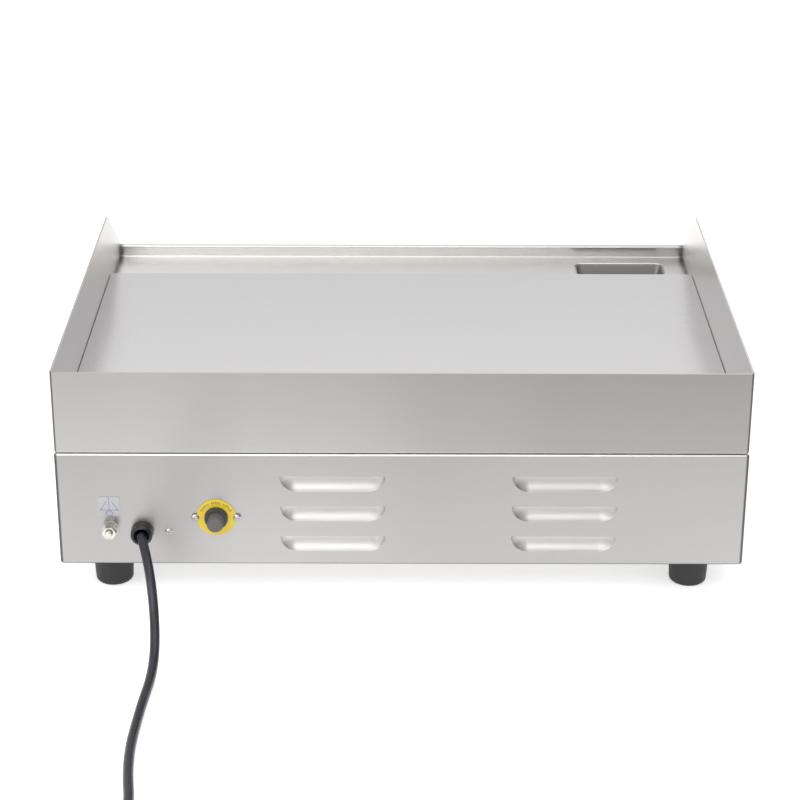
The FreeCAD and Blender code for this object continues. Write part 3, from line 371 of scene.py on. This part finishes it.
def moulded(name, colour, rough, pit=0.03, scale=1500.0, worn=0.25, sheen=0.0):
    """Rubber or plastic: fine moulded texture with paler, rubbed patches."""
    s = Shader(name, Specular_IOR_Level=0.5, Sheen_Weight=sheen, Sheen_Roughness=0.5)
    pits = s.noise(scale, 3, roughness=0.6)
    patch = s.noise(70.0, 5, roughness=0.6, distortion=0.5)
    faded = WORN_SHARE * worn
    paler = tuple(c * (1 - faded) + faded * WORN_TONE for c in colour)
    tone = s.math("ADD", s.math("MULTIPLY", patch, 0.75), s.math("MULTIPLY", pits, 0.25))
    s.put("Base Color", s.mix(s.remap(tone, 0, 1, 0.38, 0.72), colour, paler))
    s.put("Roughness", s.remap(patch, rough - 0.07, min(1.0, rough + 0.1), *NOISE_MID))
    s.bump(pits, pit * MM, 0.6)
    return s.material


def printed_film(name, colour, rough):
    """Self-adhesive printed film: orange-peel gloss and a slightly uneven print."""
    s = Shader(name, Coat_Weight=0.4, Coat_Roughness=0.18)
    print_tone = s.noise(420.0, 4, roughness=0.6)
    s.put("Base Color", s.mix(s.remap(print_tone, 0, 1, *NOISE_MID), shade(colour, 0.93), colour))
    s.put("Roughness", s.remap(s.noise(90.0, 2), rough - 0.06, rough + 0.08, *NOISE_MID))
    s.bump(s.noise(700.0, 2), 0.02 * MM, 0.4)
    return s.material


def tinted_lens(name, colour):
    """Clear tinted lamp cover with a ribbed inside."""
    s = Shader(name, Transmission_Weight=0.55, IOR=1.49, Coat_Weight=0.5, Coat_Roughness=0.05)
    place = s.parts(s.object)
    across = s.math("SINE", s.math("MULTIPLY", place[X], LENS_WAVE))
    upright = s.math("SINE", s.math("MULTIPLY", place[Z], LENS_WAVE))
    ribs = s.math("MULTIPLY", across, upright)
    s.put("Base Color", s.mix(s.remap(ribs, 0, 1, -1, 1), shade(colour, 0.6), colour))
    s.put("Roughness", s.remap(s.noise(300.0, 2), 0.06, 0.16))
    s.bump(ribs, 0.12 * MM, 0.6)
    return s.material


def glazed_ceramic(name, colour):
    """White glaze with fine dark specks."""
    s = Shader(name, Coat_Weight=0.6, Coat_Roughness=0.1)
    speck = s.noise(1300.0, 4, roughness=0.7)
    s.put("Base Color", s.mix(s.remap(speck, 0, 1, 0.62, 0.75), colour, shade(colour, 0.75)))
    s.put("Roughness", s.remap(s.noise(60.0, 3), 0.25, 0.45))
    s.bump(speck, 0.03 * MM, 0.3)
    return s.material


def mineral_wool(name, colour):
    """Matted fibres, mostly level."""
    s = Shader(name, Sheen_Weight=0.3, Sheen_Roughness=0.8)
    fibres = s.noise(1.0, 5, s.stretch(s.object, WOOL_CELLS), 0.75, 1.5)
    s.put("Base Color", s.mix(s.remap(fibres, 0, 1, 0.35, 0.65), shade(colour, 0.7), colour))
    s.put("Roughness", s.remap(fibres, 0.85, 1.0))
    s.bump(fibres, 0.8 * MM, 0.9)
    return s.material


def woven_sleeve(name, colour):
    """Glass-fibre braid: two crossed sets of fine waves."""
    s = Shader(name)
    x, y, z = s.parts(s.object)
    up = s.math("SINE", s.math("MULTIPLY", s.math("ADD", s.math("ADD", x, y), z), WEAVE_WAVE))
    down = s.math("SINE", s.math("MULTIPLY", s.math("SUBTRACT", s.math("ADD", x, z), y), WEAVE_WAVE))
    weave = s.math("MULTIPLY", up, down)
    s.put("Base Color", s.mix(s.remap(weave, 0, 1, -1, 1), shade(colour, 0.72), colour))
    s.put("Roughness", s.remap(weave, 0.7, 0.9, -1, 1))
    s.bump(weave, 0.15 * MM, 0.8)
    return s.material


def oxidised_sheath(name, colour):
    """Heating element sheath after a few heat cycles."""
    s = Shader(name, Metallic=0.85)
    heat = s.noise(38.0, 5, roughness=0.6, distortion=0.8)
    s.put("Base Color", s.mix(heat, shade(colour, 0.7), HEAT_TINT))
    s.put("Roughness", s.remap(heat, 0.42, 0.68))
    s.bump(s.noise(1400.0, 3), 0.04 * MM, 0.5)
    return s.material


def anodised_dial(name, colour):
    """Satin anodised disc, turned so that its grain runs round the middle."""
    s = Shader(name, Metallic=1.0, Anisotropic=0.4)
    mid = middle("dial_plate")
    place = s.parts(s.object)
    dx, dz = s.math("SUBTRACT", place[X], mid.x), s.math("SUBTRACT", place[Z], mid.z)
    reach = s.math("SQRT", s.math("ADD", s.math("MULTIPLY", dx, dx), s.math("MULTIPLY", dz, dz)))
    rings = s.noise(1.0, 3, s.join(s.math("MULTIPLY", reach, DIAL_CELLS), 0.0, 0.0), 0.7)
    s.put("Base Color", s.mix(rings, shade(colour, 0.86), shade(colour, 1.08)))
    s.put("Roughness", s.remap(rings, 0.26, 0.42))
    s.bump(rings, 0.02 * MM, 0.4)
    return s.material


# ---- which material each slot takes ----------------------------------------------------------
# Spans for the ramps that paint light and shade, in metres along their axis.
CASE_RISE = (0.034, 0.132)
SEAM_RISE = (0.1305, 0.1318)  # the casing's upper edge, seen in the seam under the guard, where a ramp paints a highlight
GUARD_RISE = (0.133, 0.202)
GUARD_HEM = (0.1333, 0.135)  # the guard's lower bend, where a ramp paints a highlight
RECESS = (REAR_Y - 5 * MM, REAR_Y - 0.8 * MM)  # behind the rear wall's outer face; a ramp paints highlight on rear faces set back further
LIP_FACE = (-0.2075, -0.2065)  # behind the front lip's outer face; a ramp paints shade on what lies in front of it
ALL_ACROSS = (-0.27, 0.27)
GUTTER_ACROSS = (-0.26, 0.26)
MID_ACROSS = (-0.12, 0.12)
GUARD_END = (0.12, 0.24)
CASE_END = (0.13, 0.25)
CASE_MIDDLE = (-0.02, 0.1)
PLATE_DEEP = (-0.12, 0.22)

STEEL = (0.50, 0.49, 0.485)
MATERIALS = {
    # painted shade at the bent rear corners and lower edge, a painted highlight on the upper edge in
    # the seam; on the rear wall painted shade towards the top, the +X end and the -X half, and
    # painted highlight in the recesses
    "casing_steel": (brushed_steel, dict(
        colour=(0.46, 0.448, 0.442), rough=0.36, bend_shade_amount=0.9,
        ramps=[(Z, SEAM_RISE, (1.0, 2.1))],
        rear_ramps=[(Z, CASE_RISE, (1.02, 0.84)), (X, CASE_END, (1.0, 0.86)),
                    (X, CASE_MIDDLE, (0.90, 1.0)), (Z, SEAM_RISE, (1.0, 2.4)),
                    (Y, RECESS, (1.45, 1.0))])),
    # painted shade at the bent rear corners, darker towards the top, painted side-to-side light and
    # shade, and a painted highlight on the rear face's lower bend
    "guard_steel": (brushed_steel, dict(
        colour=(0.52, 0.512, 0.507), rough=0.33, bend_shade_amount=0.9,
        ramps=[(Z, GUARD_RISE, (1.05, 0.96)), (X, ALL_ACROSS, (1.2, 1.0))],
        rear_ramps=[(Z, GUARD_RISE, (0.72, 0.60)), (X, MID_ACROSS, (0.80, 1.16)),
                    (X, GUARD_END, (1.0, 0.88)), (Z, GUARD_HEM, (1.35, 1.0))])),
    # painted shade at the two ends beside the guard and on the front lip, and a painted side-to-side
    # gradient, lighter towards +X
    "gutter_steel": (brushed_steel, dict(
        colour=(0.62, 0.607, 0.593), rough=0.24, grain=0.12, end_shade_amount=0.75,
        ramps=[(X, GUTTER_ACROSS, (0.89, 1.14)), (Y, LIP_FACE, (0.72, 1.0))],
        rear_ramps=[(X, GUTTER_ACROSS, (0.91, 1.21))])),
    # a painted light gradient, lighter towards +Y
    "plate_steel": (brushed_steel, dict(
        colour=(0.61, 0.598, 0.60), rough=0.26, grain=0.2, anisotropic=0.2,
        ramps=[(Y, PLATE_DEEP, (0.94, 1.09))])),
    "panel_steel": (brushed_steel, dict(colour=STEEL, rough=0.36)),
    "drawer_steel": (brushed_steel, dict(colour=STEEL, rough=0.33)),
    # darker than the other steel: painted shade inside the drain slot
    "chute_steel": (brushed_steel, dict(colour=(0.34, 0.325, 0.31), rough=0.5)),
    "base_steel": (brushed_steel, dict(colour=STEEL, rough=0.45)),
    "galvanised": (galvanised_sheet, dict(colour=(0.55, 0.56, 0.57), rough=0.42)),
    "handle_chrome": (bright_metal, dict(colour=(0.78, 0.78, 0.78), rough=0.09)),
    "bezel_chrome": (bright_metal, dict(colour=(0.76, 0.76, 0.76), rough=0.12)),
    "nickel": (bright_metal, dict(colour=(0.64, 0.615, 0.575), rough=0.18)),
    "screw_steel": (bright_metal, dict(colour=(0.52, 0.52, 0.51), rough=0.28)),
    "copper": (bright_metal, dict(colour=(0.75, 0.42, 0.27), rough=0.28)),
    "foot_rubber": (moulded, dict(colour=(0.014, 0.014, 0.0155), rough=0.62, pit=0.05,
                                  scale=1100.0, worn=0.2, sheen=0.05)),
    "gasket_black": (moulded, dict(colour=(0.02, 0.02, 0.02), rough=0.8)),
    "gland_rubber": (moulded, dict(colour=(0.007, 0.007, 0.009), rough=0.24, pit=0.02,
                                   worn=0.06)),
    "cord_rubber": (moulded, dict(colour=(0.013, 0.014, 0.021), rough=0.34, pit=0.02,
                                  scale=1700.0, worn=0.1)),
    "plug_black": (moulded, dict(colour=(0.02, 0.02, 0.024), rough=0.42, pit=0.04)),
    "housing_black": (moulded, dict(colour=(0.024, 0.023, 0.023), rough=0.5)),
    "cap_black": (moulded, dict(colour=(0.088, 0.075, 0.077), rough=0.55, scale=1300.0,
                                worn=0.5)),
    "knob_black": (moulded, dict(colour=(0.018, 0.018, 0.019), rough=0.33, scale=1400.0,
                                 worn=0.3)),
    "tie_black": (moulded, dict(colour=(0.018, 0.018, 0.02), rough=0.75, pit=0.12,
                                scale=700.0, worn=0.4, sheen=0.5)),
    "ring_yellow": (printed_film, dict(colour=(0.66, 0.48, 0.012), rough=0.35)),
    "symbol_label": (printed_film, dict(colour=(0.40, 0.40, 0.415), rough=0.42)),
    "ink_black": (printed_film, dict(colour=(0.02, 0.02, 0.022), rough=0.4)),
    "ink_blue": (printed_film, dict(colour=(0.20, 0.22, 0.34), rough=0.4)),
    "ink_white": (printed_film, dict(colour=(0.85, 0.85, 0.83), rough=0.35)),
    "lens_green": (tinted_lens, dict(colour=(0.03, 0.42, 0.1))),
    "lens_orange": (tinted_lens, dict(colour=(0.95, 0.3, 0.02))),
    "ceramic_white": (glazed_ceramic, dict(colour=(0.8, 0.77, 0.72))),
    "mineral_wool": (mineral_wool, dict(colour=(0.78, 0.74, 0.62))),
    "wire_sleeve": (woven_sleeve, dict(colour=(0.76, 0.74, 0.66))),
    "element_sheath": (oxidised_sheath, dict(colour=(0.2, 0.19, 0.18))),
    "dial_silver": (anodised_dial, dict(colour=(0.62, 0.62, 0.62))),
}


def material_for(slot):
    """The finished material of a slot, made once."""
    made = bpy.data.materials.get("finish_" + slot)
    if made is None:
        maker, values = MATERIALS[slot]
        made = maker("finish_" + slot, **values)
    return made


def finish_nodes():
    """Every CAD node takes the material of its own slot."""
    for node in NODES.values():
        for i, old in enumerate(node.data.materials):
            node.data.materials[i] = material_for(old.name.split(".")[0])


# ---- small pieces the CAD leaves out ---------------------------------------------------------
def facing_rear(x, z, out=0.0):
    return Vector((x, REAR_Y + out, z))


def facing_front(x, z, out=0.0):
    return Vector((x, PANEL_Y - out, z))


INK = 0.05 * MM  # height of printed lines
SINK = 0.02 * MM  # how far a bar's foot goes into its surface
SLOPE = 0.6  # how far a bar's sides lean in, as a share of its height


def add_loop(bm, sections, closed=True):
    """Joins equal-length rows of points into a skin; open rows are capped at both ends."""
    rows = [[bm.verts.new(p) for p in row] for row in sections]
    pairs = list(zip(rows, rows[1:] + rows[:1])) if closed else list(zip(rows, rows[1:]))
    for row, after in pairs:
        for i in range(len(row)):
            j = (i + 1) % len(row)
            bm.faces.new((row[i], row[j], after[j], after[i]))
    if not closed:
        bm.faces.new(rows[0])
        bm.faces.new(list(reversed(rows[-1])))


def add_bar(bm, start, end, width, height, normal):
    """A low raised bar with sloped sides, standing on a surface."""
    along = (end - start).normalized()
    side = along.cross(normal).normalized()
    sink = normal * SINK
    rows = []
    for at, pull in ((start, 1), (end, -1)):
        low, high = width / 2, width / 2 - height * SLOPE
        lift = at + normal * height + along * pull * height * SLOPE
        rows.append([at - sink + side * low, lift + side * high,
                     lift - side * high, at - sink - side * low])
    add_loop(bm, rows, closed=False)


def add_arc(bm, centre, radius, first, last, width, height, normal, up, steps=48):
    """A raised bar bent round a centre; angles in degrees, clockwise from up seen from outside."""
    right = up.cross(normal)
    whole = last - first >= 360
    rows = []
    for i in range(steps if whole else steps + 1):
        a = math.radians(first + (last - first) * i / steps)
        out = up * math.cos(a) + right * math.sin(a)
        low, high = width / 2, width / 2 - height * SLOPE
        foot = centre + out * radius - normal * SINK
        top = centre + out * radius + normal * height
        rows.append([foot + out * low, top + out * high, top - out * high, foot - out * low])
    add_loop(bm, rows, closed=whole)


def add_lathe(bm, place, profile, steps=48):
    """A closed ring-shaped profile of (radius, height) points turned round +Z, then placed."""
    rows = []
    for i in range(steps):
        a = math.tau * i / steps
        rows.append([place @ Vector((r * math.cos(a), r * math.sin(a), h)) for r, h in profile])
    add_loop(bm, rows)


def finish_piece(name, bm, body, finish, smooth=False):
    """Makes a piece of a bmesh, rides it on its body and gives it its finish."""
    bmesh.ops.recalc_face_normals(bm, faces=bm.faces)
    mesh = bpy.data.meshes.new(name)
    bm.to_mesh(mesh)
    bm.free()
    for face in mesh.polygons:
        face.use_smooth = smooth
    piece = bpy.data.objects.new(name, mesh)
    SCENE.collection.objects.link(piece)
    mesh.materials.append(material_for(finish))
    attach(piece, body)
    return piece


def make_earth_sign():
    """The earth sign printed on its plate: stem, bar, two slanted lines and a ring."""
    mid = middle("earth_symbol")
    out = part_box("earth_symbol")[1].y - REAR_Y
    width, height = 0.7 * MM, 0.06 * MM
    ring_z, ring_r, ring_width = -6.1 * MM, 2.4 * MM, 0.8 * MM
    stem = ((0, 8.0), (0, -2.4))
    bar = ((-7.6, -3.2), (7.6, -3.2))
    slants = [((side * 7.2, -3.6), (side * 2.0, 4.6)) for side in (-1, 1)]
    bm = bmesh.new()
    for ends in (stem, bar, *slants):
        start, end = [facing_rear(mid.x + x * MM, mid.z + z * MM, out) for x, z in ends]
        add_bar(bm, start, end, width, height, TO_REAR)
    add_arc(bm, facing_rear(mid.x, mid.z + ring_z, out), ring_r, 0, 360, ring_width, height,
            TO_REAR, UP)
    finish_piece("earth_sign_lines", bm, "chassis", "ink_blue")


def make_ring_ticks():
    """Plain marks on the upper arc of the yellow ring, where lettering would be."""
    mid = middle("reset_ring")
    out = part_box("reset_ring")[1].y - REAR_Y
    count, first, step = 19, -63, 7  # the marks, in degrees clockwise from the top
    gaps = (6, 12)  # these two are left out
    inner, outer, outer_long = 12.1 * MM, 13.9 * MM, 14.3 * MM
    width = 0.55 * MM
    bm = bmesh.new()
    for i in range(count):
        if i in gaps:
            continue
        angle = math.radians(first + step * i)
        reach = (inner, outer if i % 3 else outer_long)
        ends = [facing_rear(mid.x + r * math.sin(angle), mid.z + r * math.cos(angle), out)
                for r in reach]
        add_bar(bm, *ends, width, INK, TO_REAR)
    finish_piece("reset_ring_marks", bm, "chassis", "ink_black")


DIAL_FIRST, DIAL_LAST = 65, 290  # degrees clockwise from off, at the coolest and hottest
DIAL_MARK, DIAL_MAJOR = 9, 45  # degrees from mark to mark, and from number to number
DIAL_DEGREES = 50  # of heat, from number to number
DIAL_NUMBERS = {0: "0"}
for angle in range(DIAL_FIRST, DIAL_LAST + 1, DIAL_MAJOR):
    DIAL_NUMBERS[angle] = str(DIAL_DEGREES * len(DIAL_NUMBERS))


def on_dial(angle, radius, lift=0.0):
    """A point on the dial plate's face."""
    mid = middle("dial_plate")
    out = PANEL_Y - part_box("dial_plate")[0].y
    a = math.radians(angle)
    return facing_front(mid.x + radius * math.sin(a), mid.z + radius * math.cos(a), out + lift)


def make_dial_marks():
    """Temperature scale: a thin arc with short marks, longer beside the numbers."""
    arc_r, arc_width, arc_steps = 24.1 * MM, 0.35 * MM, 90
    inner, minor, major, width = 23.6 * MM, 24.9 * MM, 25.6 * MM, 0.4 * MM
    bm = bmesh.new()
    add_arc(bm, on_dial(0, 0), arc_r, DIAL_FIRST, DIAL_LAST, arc_width, INK, TO_FRONT, UP,
            arc_steps)
    for angle in (0, *range(DIAL_FIRST, DIAL_LAST + 1, DIAL_MARK)):
        outer = major if angle in DIAL_NUMBERS else minor
        add_bar(bm, on_dial(angle, inner), on_dial(angle, outer), width, INK, TO_FRONT)
    finish_piece("dial_marks", bm, "chassis", "ink_black")


def make_dial_numbers():
    """Plain upright numbers round the scale."""
    radius, size, thick = 28.1 * MM, 4.0 * MM, 0.03 * MM
    for angle, number in DIAL_NUMBERS.items():
        text = bpy.data.curves.new("dial_number_" + number, "FONT")
        text.body = number
        text.size = size
        text.extrude = thick
        text.align_x, text.align_y = "CENTER", "CENTER"
        text.materials.append(material_for("ink_black"))
        sign = bpy.data.objects.new("dial_number_" + number, text)
        SCENE.collection.objects.link(sign)
        sign.location = on_dial(angle, radius, thick)
        sign.rotation_euler = (math.radians(90), 0, 0)
        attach(sign, "chassis")


def make_knob_pointer():
    """White pointer on the knob's grip."""
    start, end, width, height = 4 * MM, 16 * MM, 1.4 * MM, 0.12 * MM
    mid = middle("control_knob")
    front = Vector((mid.x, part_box("control_knob")[0].y, mid.z))
    bm = bmesh.new()
    add_bar(bm, front + UP * start, front + UP * end, width, height, TO_FRONT)
    finish_piece("knob_pointer", bm, "knob", "ink_white")


def make_knob_ribs():
    """Fine ribs round the knob's side, which narrows towards the front."""
    count, width, height = 48, 1.1 * MM, 0.4 * MM
    foot_y, foot_r = 6.2 * MM, 19.5 * MM  # from the knob's back and from its middle
    tip_y, tip_r = 13.6 * MM, 18.85 * MM
    mid = middle("control_knob")
    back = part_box("control_knob")[1].y
    bm = bmesh.new()
    for i in range(count):
        a = math.tau * (i + 0.5) / count
        out = Vector((math.sin(a), 0, math.cos(a)))
        foot = Vector((mid.x, back - foot_y, mid.z)) + out * foot_r
        tip = Vector((mid.x, back - tip_y, mid.z)) + out * tip_r
        add_bar(bm, foot, tip, width, height, out)
    finish_piece("knob_ribs", bm, "knob", "knob_black")


def make_lamp_signs():
    """A mains sign beside the upper lamp and a heat sign beside the lower one."""
    width = 0.6 * MM
    aside = 17 * MM  # from the lamp to its sign
    mains_r, mains_bar = 3.0 * MM, (0.6 * MM, 4.2 * MM)
    mains_gap = 32  # degrees of the ring left open on either side of its bar
    sun_r, rays, ray = 1.7 * MM, 8, (2.5 * MM, 4.0 * MM)
    mains, heat = [facing_front(middle(lens).x - aside, middle(lens).z)
                   for lens in ("power_lamp_lens", "heating_lamp_lens")]
    bm = bmesh.new()
    add_arc(bm, mains, mains_r, mains_gap, 360 - mains_gap, width, INK, TO_FRONT, UP)
    add_bar(bm, mains + UP * mains_bar[0], mains + UP * mains_bar[1], width, INK, TO_FRONT)
    add_arc(bm, heat, sun_r, 0, 360, width, INK, TO_FRONT, UP)
    for i in range(rays):
        a = math.tau * i / rays
        out = Vector((math.sin(a), 0, math.cos(a)))
        add_bar(bm, heat + out * ray[0], heat + out * ray[1], width, INK, TO_FRONT)
    finish_piece("lamp_signs", bm, "chassis", "ink_black")


def make_stud_thread():
    """Thread crests on the free end of the earth stud."""
    crests, first, pitch = 3, 0.75 * MM, 0.62 * MM
    root, crest = 2.9 * MM, 3.12 * MM
    rise, flat, fall = 0.2 * MM, 0.1 * MM, 0.2 * MM
    mid = middle("earth_stud")
    end = Matrix.Translation((mid.x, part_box("earth_stud")[1].y, mid.z))
    place = end @ Matrix.Rotation(math.radians(-90), 4, "X")
    bm = bmesh.new()
    for i in range(crests):
        top = -first - pitch * i
        add_lathe(bm, place, [(root, top), (crest, top - rise), (crest, top - rise - flat),
                              (root, top - rise - flat - fall)])
    finish_piece("earth_thread", bm, "chassis", "nickel", smooth=True)


def make_plug_clips():
    """Sprung earth contacts in the plug's two side grooves."""
    heading = math.radians(20)  # of the plug, from -X towards -Y
    first, length, steps = 43.0 * MM, 17.5 * MM, 8
    groove, spring, thick = 16.5 * MM, 0.9 * MM, 0.35 * MM
    foot, top = 2.3 * MM, 2.1 * MM  # half widths
    along = Vector((-math.cos(heading), -math.sin(heading), 0))
    turn = UP.rotation_difference(along).to_matrix().to_4x4()
    place = Matrix.Translation(TAIL[-1]) @ turn
    bm = bmesh.new()
    for side in (-1, 1):
        rows = []
        for i in range(steps + 1):
            t = i / steps
            lift = groove + spring * math.sin(math.pi * t)
            rows.append([place @ Vector((x, side * (lift + rise), first + length * t))
                         for x, rise in ((-foot, 0), (-top, thick), (top, thick), (foot, 0))])
        add_loop(bm, rows, closed=False)
    return finish_piece("plug_earth_clips", bm, "chassis", "nickel", smooth=True)


def make_cord_tie():
    """A soft strap round the coil's turns, pressed thin where it lies on the floor."""
    heading, steps = math.radians(45), 40
    inner = (7.75 * MM, 0.06 * MM, 5.0 * MM)  # half size, lowest height and half width
    outer = (8.6 * MM, 0.01 * MM, 4.7 * MM)
    buckle_up, buckle_in, buckle_out = 8.55 * MM, 4.2 * MM, 5.6 * MM
    buckle_width, buckle_height = 8.6 * MM, 0.7 * MM
    out = Vector((math.cos(heading), math.sin(heading), 0))
    along = Vector((-out.y, out.x, 0))
    bundle = Vector((*COIL_AT, CORD_Z + CORD_D / 2)) + out * COIL_R
    bm = bmesh.new()
    rows = []
    for i in range(steps):
        a = math.tau * i / steps
        u = math.copysign(math.sqrt(abs(math.cos(a))), math.cos(a))
        v = math.copysign(math.sqrt(abs(math.sin(a))), math.sin(a))
        edges = []
        for half, lowest, width in (inner, outer):
            at = bundle + (out * u + UP * v) * half
            at.z = max(at.z, lowest)
            edges += [at - along * width, at + along * width]
        rows.append([edges[0], edges[1], edges[3], edges[2]])
    add_loop(bm, rows)
    top = bundle + UP * buckle_up
    add_bar(bm, top - out * buckle_in, top + out * buckle_out, buckle_width, buckle_height, UP)
    return finish_piece("cord_tie", bm, "chassis", "tie_black", smooth=True)


def make_details():
    make_earth_sign()
    make_ring_ticks()
    make_dial_marks()
    make_dial_numbers()
    make_knob_pointer()
    make_knob_ribs()
    make_lamp_signs()
    make_stud_thread()


# ---- room ------------------------------------------------------------------------------------
FLOOR_HALF = 30.0
FLOOR_DROP = 0.1 * MM  # keeps the floor out of the feet's undersides
FLOOR_GLOW = 0.5  # lightens the shadow under the box
FLOOR_TONES = ((0.90, 0.90, 0.895), (0.93, 0.93, 0.93))

# Levels of the room's light. A span is two shares of a world direction along Y, X or Z,
# between which the level changes.
WORLD_ROOM = 0.78
WORLD_BACK = 1.06
BACK_SPAN = (-0.15, -0.75)
WORLD_SIDES = (0.28, 0.66)  # dark flags at the object's -X and +X sides
SIDE_SPAN = (0.62, 0.92)
FLAG_RISE = (0.16, 0.30)  # the flags start this high, so that no low view ends in them
WORLD_HEIGHTS = (0.90, 1.12)
HEIGHT_SPAN = (0.30, 0.60)

LIGHTS = {  # place, aim, power, width and height
    "key_softbox": ((0.6, 1.5, 1.55), (0.05, 0.1, 0.1), 17.0, 2.4, 0.8),
    "top_softbox": ((-0.1, 0.2, 2.0), (0, 0, 0), 6.5, 1.8, 1.0),
    "side_softbox": ((1.5, 0.9, 0.8), (0.1, 0.3, 0.05), 3.0, 0.9, 0.9),
}


def make_floor():
    mesh = bpy.data.meshes.new("floor")
    h = FLOOR_HALF
    mesh.from_pydata([(-h, -h, 0), (h, -h, 0), (h, h, 0), (-h, h, 0)], [], [(0, 1, 2, 3)])
    floor = bpy.data.objects.new("floor", mesh)
    floor.location.z = -FLOOR_DROP
    SCENE.collection.objects.link(floor)
    s = Shader("floor_paper", Specular_IOR_Level=0.1)
    tone = s.noise(3.0, 3)
    s.put("Base Color", s.mix(tone, *FLOOR_TONES))
    s.put("Roughness", s.remap(tone, 0.85, 0.95))
    s.put("Emission Color", (1.0, 1.0, 1.0))
    s.put("Emission Strength", FLOOR_GLOW)
    mesh.materials.append(s.material)


def make_world():
    """A white room, brighter behind the object, with dark flags high at its two sides."""
    world = bpy.data.worlds.new("studio")
    world.use_nodes = True
    tree = world.node_tree
    n, links = tree.nodes, tree.links
    direction = n.new("ShaderNodeSeparateXYZ")
    links.new(n.new("ShaderNodeTexCoord").outputs["Generated"], direction.inputs[0])

    def fade(value, start, end, low, high):
        node = n.new("ShaderNodeMapRange")
        node.interpolation_type = "SMOOTHSTEP"
        for key, number in (("From Min", start), ("From Max", end)):
            node.inputs[key].default_value = number
        for key, number in (("To Min", low), ("To Max", high)):
            if isinstance(number, bpy.types.NodeSocket):
                links.new(number, node.inputs[key])
            else:
                node.inputs[key].default_value = number
        links.new(value, node.inputs["Value"])
        return node.outputs[0]

    level = fade(direction.outputs["Y"], *BACK_SPAN, WORLD_ROOM, WORLD_BACK)
    above = fade(direction.outputs["Z"], *FLAG_RISE, 0.0, 1.0)
    factors = []
    for sign, dark in zip((-1, 1), WORLD_SIDES):
        span = [sign * share for share in SIDE_SPAN]
        flag = fade(direction.outputs["X"], *span, 1.0, dark)
        factors.append(fade(above, 0.0, 1.0, 1.0, flag))
    factors.append(fade(direction.outputs["Z"], *HEIGHT_SPAN, *WORLD_HEIGHTS))
    for factor in factors:
        product = n.new("ShaderNodeMath")
        product.operation = "MULTIPLY"
        links.new(level, product.inputs[0])
        links.new(factor, product.inputs[1])
        level = product.outputs[0]
    links.new(level, n["Background"].inputs["Strength"])
    n["Background"].inputs["Color"].default_value = (1, 1, 1, 1)
    SCENE.world = world


def make_light(name, place, aim, power, width, height):
    data = bpy.data.lights.new(name, "AREA")
    data.shape = "RECTANGLE"
    data.size, data.size_y = width, height
    data.energy = power
    light = bpy.data.objects.new(name, data)
    SCENE.collection.objects.link(light)
    light.location = place
    light.rotation_euler = (Vector(aim) - Vector(place)).to_track_quat("-Z", "Y").to_euler()


def make_room():
    make_floor()
    make_world()
    for name, values in LIGHTS.items():
        make_light(name, *values)
    SCENE.view_settings.view_transform = "Standard"


make_camera()
make_cord()
finish_nodes()
make_details()
make_room()

SCENE.view_layers[0].update()
